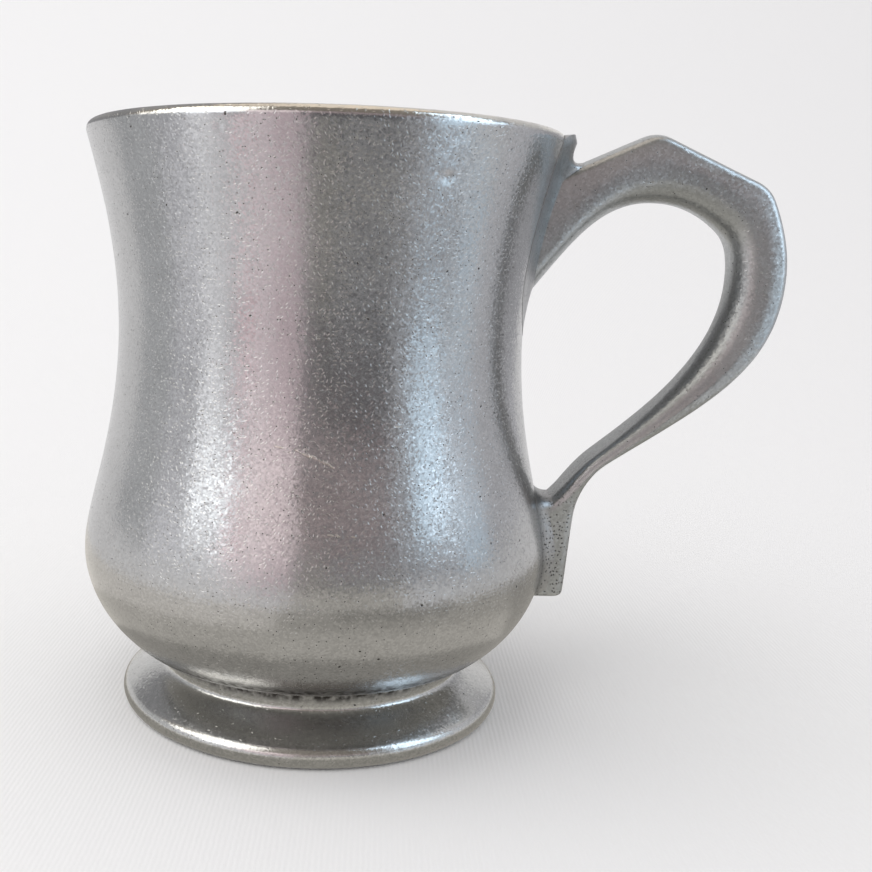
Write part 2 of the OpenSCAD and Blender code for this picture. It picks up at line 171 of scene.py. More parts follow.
class TankardJoints(bpy.types.PropertyGroup):
    """Solder fillets where the handle meets the body."""

    gap: size("Gap", "Clearance between the handle's coped ends and the body", 0.04)
    pad: size("Pad", "How far the pad under the lip stands out", 2.0)
    pad_rise: size("Pad rise", "How far the pad rises beside the rounded lip", 2.2)
    top_spread: size("Top spread", "Spread of the upper joint along the top", 5.6)
    upper_spread: size("Upper spread", "Spread of the upper joint along the sides", 1.8)
    upper_reach: size("Upper reach", "Spread of the upper joint along the body", 8.0)
    web_drop: size("Web drop", "Depth below the lip where the spread starts to run up to it", 19.0)
    web_height: size("Web height", "Height over which the spread runs up to the lip", 10.0)
    lower_spread: size("Lower spread", "Spread of the lower joint along the handle", 2.4)
    lower_reach: size("Lower reach", "Spread of the lower joint along the body", 2.6)
    crook_grow: share("Crook growth", "Growth of the lower joint in the crook above the tail", 0.7)
    sink: size("Sink", "How far the filed edge of the solder lies under the body's skin", 0.1)
    skin_depth: size("Skin depth", "Unevenness of the filed solder", 0.07)
    skin_size: size("Skin size", "Width of the uneven places", 3.0)


class TankardFinish(bpy.types.PropertyGroup):
    """Colours and gloss of the metal."""

    body_colour: colour("Body", "Worn cast pewter of the body", "#b1b1b1")
    foot_colour: colour("Foot", "Turned pewter of the foot", "#bcbcba")
    handle_colour: colour("Handle", "Duller cast pewter of the handle", "#aeb0b0")
    solder_colour: colour("Solder", "Filed solder of the joints", "#a3a3a3")
    # The pit colour also paints shade in the crease under the belly and on faces that look one way
    pit_and_shade_colour: colour("Pits", "Dirt in the pits and the creases", "#3f3d3a")
    bright_colour: colour("Bright metal", "Rubbed metal on edges and scratches", "#dedbd3")
    body_rough: share("Body roughness", "Roughness of the tumbled body", 0.22)
    foot_rough: share("Foot roughness", "Roughness of the foot", 0.22)
    handle_rough: share("Handle roughness", "Roughness of the handle", 0.36)
    solder_rough: share("Solder roughness", "Roughness of the filed solder", 0.34)


class TankardStage(bpy.types.PropertyGroup):
    """Camera, cloth sweep and studio light."""

    cloth_colour: colour("Cloth", "Pale cloth that the tankard stands on", "#f1f0ee")
    cloth_rib: size("Cloth rib", "Spacing of the cloth's ribs", 0.9)
    sweep_start: size("Sweep start", "Where the cloth starts to rise behind the tankard", 110.0)
    sweep_radius: size("Sweep radius", "Radius of the rising cloth", 900.0)
    sky_colour: colour("Room", "Even light of the room", "#e8e8ec")
    view_x: size("Camera x", "Place of the camera along X", 11.327)
    view_y: size("Camera y", "Place of the camera along Y", -216.123)
    view_z: size("Camera z", "Height of the camera", 92.34)
    view_turn: angle("Turn", "Turn of the camera about the upright", 2.86)
    view_tilt: angle("Tilt", "Tilt of the camera below level", 10.074)
    view_roll: angle("Roll", "Roll of the camera about its own axis", 1.7746)
    lens: bpy.props.FloatProperty(name="Lens", description="Focal length in mm", default=44.43)
    shift: bpy.props.FloatProperty(
        name="Shift", description="Sideways shift of the frame, as a share of it", default=0.133
    )


GROUPS = {
    "tankard_body": TankardBody,
    "tankard_handle": TankardHandle,
    "tankard_joints": TankardJoints,
    "tankard_finish": TankardFinish,
    "tankard_stage": TankardStage,
}


# Curves in the half plane of the body and in the plane of the handle


def heading(turn):
    """Unit vector at an angle in radians."""
    return np.array([math.cos(turn), math.sin(turn)])


def cubic(start, start_turn, start_pull, end, end_turn, end_pull):
    """Control points of a cubic. The turns are in radians and the pulls are shares of the chord."""
    start, end = np.array(start), np.array(end)
    chord = np.linalg.norm(end - start)
    return np.array([
        start,
        start + start_pull * chord * heading(start_turn),
        end - end_pull * chord * heading(end_turn),
        end,
    ])


def on_cubic(points, t):
    """Points of a cubic at the parameters t, from 0 at its start to 1 at its end."""
    t = np.asarray(t, float)[..., None]
    return (
        points[0] * (1 - t) ** 3
        + points[1] * 3 * t * (1 - t) ** 2
        + points[2] * 3 * t * t * (1 - t)
        + points[3] * t**3
    )


def smooth(t):
    """Eased step from 0 to 1."""
    t = np.clip(t, 0, 1)
    return t * t * (3 - 2 * t)


def unit(vectors):
    """Vectors of length 1."""
    return vectors / np.linalg.norm(vectors, axis=-1, keepdims=True)


UPRIGHT = math.pi / 2


class BodyOutline:
    """Outside and inside of the body as [radius, height] points, from its seat up to the lip."""

    def __init__(self, b):
        self.seat_z = b.foot_height + b.solder
        seat = [b.neck_radius + b.overhang, self.seat_z]
        belly = [b.belly_radius, b.belly_height]
        waist = [b.waist_radius, b.waist_height]
        drop = b.lip_wall / 2 * (1 + math.sin(b.lip_slope))
        self.lip_base = np.array([b.lip_radius, b.lip_height - drop])
        # Curves and the steps along each
        spans = [
            (cubic(seat, UPRIGHT - b.seat_slope, 0.37, belly, UPRIGHT, 0.315), 34),
            (cubic(belly, UPRIGHT, 0.2, waist, UPRIGHT, 0.48), 54),
            (cubic(waist, UPRIGHT, 0.36, self.lip_base, UPRIGHT - b.lip_slope, 0.33), 60),
        ]
        rows = [on_cubic(c, np.linspace(0, 1, n + 1)[1:]) for c, n in spans]
        self.outside = np.concatenate([[seat], *rows])
        run = unit(np.gradient(self.outside, axis=0))
        thicken = smooth((self.outside[:, 1] - self.lip_base[1] + b.lip_band) / b.lip_band)
        wall = b.wall + (b.lip_wall - b.wall) * thicken
        self.inside = self.outside + wall[:, None] * np.stack([-run[:, 1], run[:, 0]], 1)

    def radius(self, z):
        """Outside radius at a height."""
        return np.interp(z, self.outside[:, 1], self.outside[:, 0])

    def cavity(self, z):
        """Inside radius at a height."""
        return np.interp(z, self.inside[:, 1], self.inside[:, 0])

    def normal(self, points, step=0.05 * MM):
        """Outward normals of the body's surface at points on it."""
        slope = (self.radius(points[:, 2] + step) - self.radius(points[:, 2] - step)) / (2 * step)
        flat = unit(points[:, :2])
        return unit(np.column_stack([flat, -slope]))


def between(points, low, high):
    """Points of an outline strictly between two heights."""
    return points[(points[:, 1] > low) & (points[:, 1] < high)]


def arc(centre, radius, start, end, steps):
    """Points of an arc, its angles in radians."""
    turns = np.linspace(start, end, steps + 1)
    return np.array(centre) + radius * np.column_stack([np.cos(turns), np.sin(turns)])


# Angle at which the foot's cone meets its bead, in degrees, and steps of the round stretches
BEAD_TOP = 60
BEAD_STEPS = 22
CONE_STEPS = 30
LIP_STEPS = 14
KNEE_STEPS = 8
# Inside the body, one point in so many is kept, above and below the seam
KEEP_ABOVE = 3
KEEP_BELOW = 2


def upper_body_loop(b, o):
    """Lip, flare, waist and the shoulder of the belly, with a rebate at the lower edge."""
    edge_z = b.belly_height + b.solder
    step_z = edge_z + b.lap
    step_r = b.belly_radius - b.wall / 2 + b.solder
    across = o.lip_base - o.inside[-1]
    turn = math.atan2(across[1], across[0])
    middle = (o.lip_base + o.inside[-1]) / 2
    lip = arc(middle, np.linalg.norm(across) / 2, turn, turn + math.pi, LIP_STEPS)
    return np.concatenate([
        [[step_r, edge_z], [o.radius(edge_z), edge_z]],
        between(o.outside, edge_z, o.lip_base[1]),
        lip,
        between(o.inside, step_z, o.inside[-1][1])[::-KEEP_ABOVE],
        [[o.cavity(step_z), step_z], [step_r, step_z], [step_r, edge_z]],
    ])


def lower_bowl_loop(b, o):
    """Rounded belly and floor, with a tongue inside the rebate. It starts and ends on the axis."""
    under_z = b.foot_height - b.register
    floor_z = under_z + b.floor_wall
    lap_r = b.belly_radius - b.wall / 2
    lap_z = b.belly_height + b.lap
    register_r = b.neck_radius - b.foot_wall - b.solder
    corner = o.inside[0]
    run = (corner[1] - floor_z) * math.tan(b.seat_slope)
    knee = np.array([corner[0] - run, floor_z])
    knee_soft = cubic(corner, -UPRIGHT - b.seat_slope, 0.4, knee - [run, 0], -math.pi, 0.4)
    return np.concatenate([
        [[0, under_z], [register_r, under_z], [register_r, o.seat_z]],
        o.outside[o.outside[:, 1] < b.belly_height],
        [[b.belly_radius, b.belly_height], [lap_r, b.belly_height]],
        [[lap_r, lap_z], [o.cavity(lap_z), lap_z]],
        between(o.inside, corner[1], lap_z)[::-KEEP_BELOW],
        on_cubic(knee_soft, np.linspace(0, 1, KNEE_STEPS + 1)),
        [[0, floor_z]],
    ])


def belly_seam_loop(b, o):
    """Solder in the stepped seam between the castings."""
    low, high = b.belly_height, b.belly_height + b.lap
    lap_r = b.belly_radius - b.wall / 2
    return np.array([
        [lap_r, low],
        [b.belly_radius, low],
        [o.radius(low + b.solder), low + b.solder],
        [lap_r + b.solder, low + b.solder],
        [lap_r + b.solder, high + b.solder],
        [o.cavity(high + b.solder), high + b.solder],
        [o.cavity(high), high],
        [lap_r, high],
        [lap_r, low],
    ])


def foot_seam_loop(b, o):
    """Solder between the belly's seat and the foot, and round the floor's register."""
    under_z = b.foot_height - b.register
    bore_r = b.neck_radius - b.foot_wall
    return np.array([
        [bore_r - b.solder, under_z],
        [bore_r, under_z],
        [bore_r, b.foot_height],
        [b.neck_radius, b.foot_height],
        [b.neck_radius, o.seat_z],
        [bore_r - b.solder, o.seat_z],
        [bore_r - b.solder, under_z],
    ])


def foot_ring_loop(b, _):
    """Upright neck, a flat cone out to a rounded bead, a resting ring and the hollow under it."""
    bore_r = b.neck_radius - b.foot_wall
    bead = np.array([b.foot_radius - b.bead_radius, b.bead_radius])
    top = math.radians(BEAD_TOP)
    meet = bead + b.bead_radius * heading(top)
    neck = [b.neck_radius, b.foot_height - b.neck_height]
    cone = cubic(neck, -UPRIGHT, 0.16, meet, top - UPRIGHT, 0.77)
    rest_r = bead[0] - b.rest_width
    shoulder_z = b.foot_height - b.foot_wall - 2 * b.register
    return np.concatenate([
        [[b.neck_radius, b.foot_height]],
        on_cubic(cone, np.linspace(0, 1, CONE_STEPS + 1)),
        arc(bead, b.bead_radius, top, -UPRIGHT, BEAD_STEPS)[1:],
        [[rest_r, 0], [rest_r, b.bead_radius], [bore_r, shoulder_z]],
        [[bore_r, b.foot_height], [b.neck_radius, b.foot_height]],
    ])


# Most of the handle's thickness that the edges along its inside and its back may take
INNER_SHARE = 0.5
BACK_SHARE = 0.24
# Steps along each span of the handle, and the stations between which it narrows
STATIONS = (26, 40, 30, 80, 44, 26)
NARROW = (2.5, 4.0)
# Directions in degrees: the back below the shoulder, the tail's back, the inside under the peak and
# in the crook, and the turn of the strap's inside from its back
SHOULDER_TURN = -62
TAIL_TURN = -95
PEAK_TURN = 2
CROOK_TURN = -162
STRAP_TURN = 5
# Points of half a section: round the inner edge, along the side, round the back edge, on the crown
INNER_POINTS = 9
SIDE_POINTS = 5
BACK_POINTS = 8
CROWN_POINTS = 4
# Points across a rounded corner of the back, and round the tail's end
CORNER_POINTS = 9
TAIL_POINTS = 9


class HandleForm:
    """The handle between a line along its back and a line along its inside, in the XZ plane.

    Station 0 is the root, 1 the peak, 2 the shoulder, 3 the back, 4 the arm's foot, 5 the tail's
    shoulder and 6 the tail's end.
    """

    def __init__(self, b, h, o):
        self.h, self.lip_z = h, b.lip_height
        lip_r, lip_z = b.lip_radius, b.lip_height
        into_wall = b.wall + h.tail_edge
        # Rounding a corner off lowers it by about this much
        lift = h.corner_soft / 8
        peak = np.array([lip_r + h.peak_out, HANDLE_TOP * MM + lift])
        top_x = o.radius(lip_z - h.shoulder_drop) - into_wall
        root_top = [top_x, peak[1] - (peak[0] - top_x) * math.tan(h.peak_angle)]
        back = np.array([HANDLE_BACK * MM, lip_z - h.back_drop])
        shoulder = np.array([back[0] - h.shoulder_in, lip_z - h.shoulder_drop])
        arm = np.array([b.belly_radius + h.arm_out, b.belly_height + h.arm_rise])
        tail_z = b.belly_height + h.tail_rise
        tail = np.array([o.radius(tail_z) + h.tail_thick, tail_z])
        end_z = TAIL_END * MM
        tail_end = np.array([o.radius(end_z) + h.tail_end_thick, end_z])
        fall = math.atan2(*(shoulder - peak)[::-1])
        turn = math.radians(SHOULDER_TURN)
        arm_turn = h.arm_angle - math.pi
        tail_fall = math.radians(TAIL_TURN)
        self.back_spans = [
            cubic(root_top, h.peak_angle, 0.33, peak, h.peak_angle, 0.33),
            cubic(peak, fall, 0.33, shoulder, fall, 0.33),
            cubic(shoulder, turn, 0.33, back, -UPRIGHT, 0.33),
            cubic(back, -UPRIGHT, 0.38, arm, arm_turn, 0.44),
            cubic(arm, arm_turn, 0.36, tail, tail_fall, 0.34),
            cubic(tail, tail_fall, 0.33, tail_end, tail_fall, 0.33),
        ]
        low_z = lip_z - h.root_drop
        root_low = np.array([o.radius(low_z), low_z]) - into_wall * heading(h.root_angle)
        rise = math.radians(PEAK_TURN)
        crook = math.radians(CROOK_TURN)
        peak_in = peak - [0, h.peak_thick + lift]
        in_turn = (fall + turn) / 2
        shoulder_in = shoulder - h.shoulder_thick * heading(in_turn + UPRIGHT)
        back_in = back - [h.grip_thick, 0]
        arm_in = arm - h.strap_thick * heading(arm_turn + UPRIGHT)
        arm_in_turn = arm_turn + math.radians(STRAP_TURN)
        tail_in = [o.radius(tail_z) - into_wall, tail_z]
        tail_end_in = [o.radius(end_z) - into_wall, end_z]
        self.inner_spans = [
            cubic(root_low, h.root_angle, 0.42, peak_in, rise, 0.34),
            cubic(peak_in, rise, 0.36, shoulder_in, in_turn, 0.36),
            cubic(shoulder_in, in_turn, 0.36, back_in, -UPRIGHT, 0.36),
            cubic(back_in, -UPRIGHT, 0.32, arm_in, arm_in_turn, 0.4),
            cubic(arm_in, arm_in_turn, 0.46, tail_in, crook, 0.44),
            cubic(tail_in, -UPRIGHT, 0.33, tail_end_in, -UPRIGHT, 0.33),
        ]
        self.end = len(self.back_spans)
        self.tail_end = tail_end
        self.soft_from = self.end - h.tail_soft / np.linalg.norm(tail_end - tail)

    def on_spans(self, spans, u):
        """Point of a line at a station."""
        i = min(int(u), self.end - 1)
        return on_cubic(spans[i], u - i)

    def soft(self, n):
        """Share of span n that the rounding of a corner takes up."""
        chord = np.linalg.norm(self.back_spans[n][3] - self.back_spans[n][0])
        return self.h.corner_soft / 2 / chord

    def tail_round(self, u):
        """How far the quarter round at the tail's end draws in at a station."""
        t = max(0.0, u - self.soft_from) / (self.end - self.soft_from)
        return self.h.tail_soft * (1 - math.sqrt(max(0.0, 1 - t * t)))

    def back_at(self, u):
        """Point of the back, with the peak and the shoulder rounded off."""
        for n in (1, 2):
            low, high = n - self.soft(n - 1), n + self.soft(n)
            if low < u < high:
                t = (u - low) / (high - low)
                ends = [self.on_spans(self.back_spans, v) for v in (low, n, high)]
                return ends[0] * (1 - t) ** 2 + ends[1] * 2 * t * (1 - t) + ends[2] * t * t
        return self.on_spans(self.back_spans, u) - [self.tail_round(u), 0]

    def section(self, thick, wide, edge):
        """Points [from the inside, across] of a rounded inside, swelling sides and a crowned back."""
        h, half = self.h, wide / 2
        inner = min(edge, INNER_SHARE * thick)
        back = min(h.back_edge, BACK_SHARE * thick)
        crown = math.atan(2 * min(h.crown, BACK_SHARE * thick) / half)
        a = np.radians(np.linspace(0, 90, INNER_POINTS))
        inside = np.column_stack([inner * (1 - np.cos(a)), half - inner * (1 - np.sin(a))])
        edge_y = half - back * (1 - math.sin(crown))
        edge_x = thick - edge_y * math.tan(crown) / 2
        turn_x = edge_x - back * math.cos(crown)
        c = np.linspace(0, UPRIGHT - crown, BACK_POINTS)
        outer = np.column_stack([turn_x + back * np.sin(c), half - back * (1 - np.cos(c))])
        t = np.linspace(0, 1, SIDE_POINTS + 2)[1:-1]
        side = np.column_stack([inner + (turn_x - inner) * t, np.full(len(t), half)])
        y = edge_y * np.linspace(1, 0, CROWN_POINTS + 2)[1:-1]
        top = np.column_stack([thick - (thick - edge_x) * (y / edge_y) ** 2, y])
        right = np.concatenate([inside, side, outer, top])
        ends = np.clip((right[:, 0] - inner) / max(turn_x - inner, MM), 0, 1)
        right[:, 1] -= h.swell * (1 - np.sin(math.pi * ends)) * smooth(right[:, 1] / half)
        left = right[::-1] * [1, -1]
        return np.concatenate([[[0, 0]], right, [[thick, 0]], left])

    def width(self, u):
        """Width at a station, drawn in at the tail's end."""
        h = self.h
        narrow = smooth((NARROW[1] - u) / (NARROW[1] - NARROW[0]))
        return h.strap_width + (h.grip_width - h.strap_width) * narrow - 2 * self.tail_round(u)

    def ring(self, u):
        """Points round the handle at a station."""
        low, high = self.on_spans(self.inner_spans, u), self.back_at(u)
        thick = np.linalg.norm(high - low)
        out = (high - low) / thick
        edge = self.h.inner_edge if u < NARROW[1] else self.h.tail_edge
        s = self.section(thick, self.width(u), edge)
        return np.column_stack([low[0] + s[:, 0] * out[0], s[:, 1], low[1] + s[:, 0] * out[1]])

    def stations(self):
        """Stations along the handle, closer together where it turns."""
        even = [i + k / n for i, n in enumerate(STATIONS) for k in range(n)]
        corners = [
            n + side * self.soft(n - 1 if side < 0 else n)
            for n in (1, 2)
            for side in np.linspace(-1, 1, CORNER_POINTS)
        ]
        quarter = np.sin(np.linspace(0, UPRIGHT, TAIL_POINTS))
        tail = self.soft_from + (self.end - self.soft_from) * quarter
        return sorted({round(float(u), 4) for u in [*even, *corners, *tail]})


# Meshes and node trees

# Points closer than this are one point
DOUBLES = 0.001 * MM


def mesh_from(name, points, faces=(), edges=()):
    """A mesh data block from points and faces."""
    mesh = bpy.data.meshes.new(name)
    mesh.from_pydata([tuple(map(float, p)) for p in points], list(edges), list(faces))
    mesh.update()
    return mesh


def put(name, data):
    """An object of that mesh, light or camera, linked to the scene."""
    obj = bpy.data.objects.new(name, data)
    bpy.context.scene.collection.objects.link(obj)
    return obj


def tube(name, rings, closed=False):
    """Mesh between rings of equal length. An open tube gets flat ends, a closed one joins up."""
    rings = np.asarray(rings)
    count, n = rings.shape[:2]
    faces = [
        (i * n + k, i * n + (k + 1) % n, (i + 1) % count * n + (k + 1) % n, (i + 1) % count * n + k)
        for i in range(count if closed else count - 1)
        for k in range(n)
    ]
    if not closed:
        faces += [tuple(range(n)), tuple(range((count - 1) * n, count * n))]
    return mesh_from(name, rings.reshape(-1, 3), faces)


def close_up(mesh, sharp=40):
    """Merges doubles, turns the faces outwards and smooths all edges but those past an angle."""
    bm = bmesh.new()
    bm.from_mesh(mesh)
    bmesh.ops.remove_doubles(bm, verts=bm.verts, dist=DOUBLES)
    bmesh.ops.dissolve_degenerate(bm, edges=bm.edges, dist=DOUBLES / 2)
    bmesh.ops.recalc_face_normals(bm, faces=bm.faces)
    if bm.calc_volume(signed=True) < 0:
        bmesh.ops.reverse_faces(bm, faces=bm.faces)
    bm.to_mesh(mesh)
    bm.free()
    mesh.shade_smooth()
    mesh.set_sharp_from_angle(angle=math.radians(sharp))


def evaluate(obj):
    """Turns an object with its modifiers into a plain mesh of the object's name."""
    graph = bpy.context.evaluated_depsgraph_get()
    mesh = bpy.data.meshes.new_from_object(obj.evaluated_get(graph), depsgraph=graph)
    mesh.name = obj.name
    obj.modifiers.clear()
    obj.data = mesh


MATH = "ShaderNodeMath"
VECTOR = "ShaderNodeVectorMath"
RANGE = "ShaderNodeMapRange"
MIX = "ShaderNodeMix"
NOISE = "ShaderNodeTexNoise"
VORONOI = "ShaderNodeTexVoronoi"
SEPARATE = "ShaderNodeSeparateXYZ"
COMBINE = "ShaderNodeCombineXYZ"
BUMP = "ShaderNodeBump"
MOVE = "GeometryNodeSetPosition"


def wire(tree, node, inputs):
    """Sets or links a node's inputs. A node given as a value stands for its first output in use."""
    for key, value in inputs.items():
        if isinstance(value, bpy.types.Node):
            value = next(socket for socket in value.outputs if socket.enabled)
        if isinstance(value, bpy.types.NodeSocket):
            tree.links.new(value, node.inputs[key])
        else:
            node.inputs[key].default_value = value


def add(tree, kind, *values, named=None, **settings):
    """Adds a node with its settings, the values of its first inputs in turn, and the named ones."""
    node = tree.nodes.new(kind)
    for key, value in settings.items():
        setattr(node, key, value)
    wire(tree, node, {**dict(enumerate(values)), **(named or {})})
    return node


def geometry_tree(name, sockets):
    """A new Geometry Nodes tree with its named inputs, and those inputs as sockets."""
    tree = bpy.data.node_groups.new(name, "GeometryNodeTree")
    for label, kind in {"Geometry": "NodeSocketGeometry", **sockets}.items():
        tree.interface.new_socket(label, in_out="INPUT", socket_type=kind)
    tree.interface.new_socket("Geometry", in_out="OUTPUT", socket_type="NodeSocketGeometry")
    return tree, add(tree, "NodeGroupInput").outputs


def apply_tree(obj, tree, values):
    """Runs a tree on an object with the named input values and keeps the result as a plain mesh."""
    modifier = obj.modifiers.new(tree.name, "NODES")
    modifier.node_group = tree
    for item in tree.interface.items_tree:
        if item.in_out == "INPUT" and item.name in values:
            modifier[item.identifier] = values[item.name]
    evaluate(obj)


# Turn and height of the dent and the nick in the body
MARKS = {
    "Dent": (math.radians(-60.3), 103.7 * MM),
    "Nick": (math.radians(-109.1), 110.3 * MM),
}
SKIN_SOCKETS = {
    "Skin depth": "NodeSocketFloat",
    "Skin size": "NodeSocketFloat",
    "Seed": "NodeSocketFloat",
    "Material": "NodeSocketMaterial",
}


def skin_steps(tree, ins, geometry):
    """Raises and lowers a surface a little, as a sand casting's skin is, and gives it its material."""
    place = add(tree, "GeometryNodeInputPosition")
    scale = add(tree, MATH, 1.0, ins["Skin size"], operation="DIVIDE")
    noise = add(
        tree,
        NOISE,
        named={"Vector": place, "W": ins["Seed"], "Scale": scale, "Detail": 1.5},
        noise_dimensions="4D",
    )
    level = add(tree, MATH, noise, 0.5, operation="SUBTRACT")
    lift = add(tree, MATH, level, ins["Skin depth"], operation="MULTIPLY")
    normal = add(tree, "GeometryNodeInputNormal")
    offset = add(tree, VECTOR, normal, named={"Scale": lift}, operation="SCALE")
    moved = add(tree, MOVE, geometry, named={"Offset": offset})
    real = add(tree, "GeometryNodeRealizeInstances", moved)
    return add(tree, "GeometryNodeSetMaterial", real, named={"Material": ins["Material"]})


def skin_tree():
    """Tree that gives a finished form its cast skin."""
    tree, ins = geometry_tree("cast_skin", SKIN_SOCKETS)
    add(tree, "NodeGroupOutput", skin_steps(tree, ins, ins["Geometry"]))
    return tree


def lathe_tree():
    """Tree that turns an outline about the upright axis, sinks the marks and adds the skin."""
    sockets = {"Segments": "NodeSocketInt", **SKIN_SOCKETS}
    for mark in MARKS:
        sockets[f"{mark} place"] = "NodeSocketVector"
        sockets[f"{mark} radius"] = "NodeSocketFloat"
        sockets[f"{mark} depth"] = "NodeSocketFloat"
    tree, ins = geometry_tree("lathe", sockets)
    outline, segments = ins["Geometry"], ins["Segments"]
    count = add(tree, "GeometryNodeAttributeDomainSize", outline)
    around = add(tree, MATH, segments, 1.0, operation="ADD")
    grid = add(tree, "GeometryNodeMeshGrid", named={"Vertices X": around, "Vertices Y": count})
    index = add(tree, "GeometryNodeInputIndex")
    row = add(tree, MATH, index, count, operation="MODULO")
    column = add(tree, MATH, index, count, operation="DIVIDE")
    column = add(tree, MATH, column, operation="FLOOR")
    part = add(tree, MATH, column, segments, operation="DIVIDE")
    turn = add(tree, MATH, part, math.tau, operation="MULTIPLY")
    place = add(tree, "GeometryNodeInputPosition")
    point = add(
        tree,
        "GeometryNodeSampleIndex",
        named={"Geometry": outline, "Value": place, "Index": row},
        data_type="FLOAT_VECTOR",
        domain="POINT",
    )
    turned = add(tree, "ShaderNodeVectorRotate", point, named={"Angle": turn}, rotation_type="Z_AXIS")
    form = add(tree, MOVE, grid, named={"Position": turned})
    form = add(tree, "GeometryNodeMergeByDistance", form, named={"Distance": DOUBLES})
    inwards = add(tree, VECTOR, place, (-1, -1, 0), operation="MULTIPLY")
    inwards = add(tree, VECTOR, inwards, operation="NORMALIZE")
    for mark in MARKS:
        radius, depth = ins[f"{mark} radius"], ins[f"{mark} depth"]
        away = add(tree, VECTOR, place, ins[f"{mark} place"], operation="DISTANCE")
        sunk = add(tree, RANGE, away, 0.0, radius, depth, 0.0, interpolation_type="SMOOTHERSTEP")
        push = add(tree, VECTOR, inwards, named={"Scale": sunk}, operation="SCALE")
        form = add(tree, MOVE, form, named={"Offset": push})
    add(tree, "NodeGroupOutput", skin_steps(tree, ins, form))
    return tree


# Finishes. Sizes of patterns are in millimetres.

MIDDLE = (0.5, 0.5, 0.5)
# Width of a mottled patch, of the fine relief and of the grain's facets, and depth of the relief
MOTTLE = 11
FINE = 0.9
FACET = 0.36
RELIEF = 0.06
# Cell, length and width of marks, and the share of cells that hold one where no finish sets it
STROKES = (0.7, 0.8, 0.2)
LONG_STROKES = (9.0, 5.0, 0.2, 0.1)
PITS = (0.8, 0.34, 0.26)
PIN_HOLES = (8.0, 0.7, 0.5, 0.18)
PORES = (0.85, 0.6, 0.4)
# Shares of the relief's depth
FINE_UP = 0.35
STROKE_UP = -0.35
PIT_UP = -0.6
SCRATCH_UP = -0.5
LINE_UP = 0.15
# How far the tones lie apart, how much of that the facets take, and the roughness either way
TONE_SPREAD = 0.16
FACET_SHARE = 0.7
ROUGH_SPREAD = 0.02
RUBBED_ROUGH = 0.16
DIRT_ROUGH = 0.55
# How strongly the strokes and the scratches shine, and the painted shade on facing faces darkens
STROKE_SHINE = 0.15
SCRATCH_SHINE = 0.6
FACING_SHADE = 0.42
# Width of the patches of painted crease shade, and width and reach of a scratch's wavering
CREASE_SHADE_PATCH = 1.4
WAVER = 1.6
WAVER_REACH = 1.5
# Scratches on the front of the body: both ends and the width
SCRATCHES = (
    ((-4.9, -40.9, 59.2), (0.9, -41.4, 57.8), 0.5),
    ((0.9, -41.4, 57.8), (4.9, -41.5, 56.1), 0.6),
    ((4.6, -43.9, 45.3), (9.0, -43.3, 44.8), 0.4),
    ((14.5, -38.1, 62.5), (16.1, -37.4, 62.4), 0.35),
)


def new_material(name):
    """A material, its node tree and its shader."""
    material = bpy.data.materials.new(name)
    material.use_nodes = True
    return material, material.node_tree, material.node_tree.nodes["Principled BSDF"]


def coordinates(tree):
    """Place on the piece in millimetres, and its normal."""
    source = add(tree, "ShaderNodeTexCoord").outputs
    place = add(tree, VECTOR, source["Object"], named={"Scale": 1 / MM}, operation="SCALE")
    return place, source["Normal"]


def specks(tree, place, normal, cell, length, width, kept):
    """Mask of small strokes lying every which way on the surface, one in some of the cells.

    Kept is the share of cells that hold a stroke.
    """
    cells = add(tree, VORONOI, place, named={"Scale": 1 / cell}).outputs
    offset = add(tree, VECTOR, place, cells["Position"], operation="SUBTRACT")
    way = add(tree, VECTOR, cells["Color"], MIDDLE, operation="SUBTRACT")
    lying = add(tree, VECTOR, way, normal, operation="CROSS_PRODUCT")
    lying = add(tree, VECTOR, lying, operation="NORMALIZE")
    sideways = add(tree, VECTOR, lying, normal, operation="CROSS_PRODUCT")
    parts = []
    for axis, size_along in ((lying, length), (sideways, width)):
        along = add(tree, VECTOR, offset, axis, operation="DOT_PRODUCT")
        parts.append(add(tree, MATH, along, size_along / 2, operation="DIVIDE"))
    far = add(tree, VECTOR, add(tree, COMBINE, *parts), operation="LENGTH")
    mask = add(tree, RANGE, far, 1.0, 0.3, interpolation_type="SMOOTHSTEP")
    chance = add(tree, "ShaderNodeSeparateColor", cells["Color"]).outputs["Blue"]
    there = add(tree, MATH, chance, kept, operation="LESS_THAN")
    return add(tree, MATH, mask, there, operation="MULTIPLY")


def porous(tree, place, normal, centre, radius, kept):
    """Mask of the pores round one place on a casting."""
    away = add(tree, VECTOR, place, centre, operation="DISTANCE")
    near = add(tree, RANGE, away, radius, radius * 0.4, interpolation_type="SMOOTHSTEP")
    pores = specks(tree, place, normal, *PORES, kept)
    return add(tree, MATH, pores, near, operation="MULTIPLY")


def wavering(tree, place):
    """The place, shifted a little so that a straight scratch wavers."""
    noise = add(tree, NOISE, place, named={"Scale": 1 / WAVER, "Detail": 2.0}).outputs["Color"]
    shift = add(tree, VECTOR, noise, MIDDLE, operation="SUBTRACT")
    return add(tree, VECTOR, shift, (WAVER_REACH,) * 3, place, operation="MULTIPLY_ADD")


def scratch(tree, place, start, end, width):
    """Mask of one scratch between two places."""
    way = Vector(end) - Vector(start)
    offset = add(tree, VECTOR, place, start, operation="SUBTRACT")
    along = add(tree, VECTOR, offset, way / way.length_squared, operation="DOT_PRODUCT")
    along = add(tree, "ShaderNodeClamp", along)
    nearest = add(tree, VECTOR, way, named={"Scale": along}, operation="SCALE")
    gap = add(tree, VECTOR, offset, nearest, operation="DISTANCE")
    return add(tree, RANGE, gap, width / 2, width / 5, interpolation_type="SMOOTHSTEP")


def rubbed(tree, mottle, height, low, high):
    """Mask of what use has rubbed bright, in patches, above a height."""
    worn = add(tree, RANGE, height, low, high, interpolation_type="SMOOTHSTEP")
    patchy = add(tree, RANGE, mottle, 0.25, 0.55, 0.35)
    return add(tree, MATH, worn, patchy, operation="MULTIPLY")


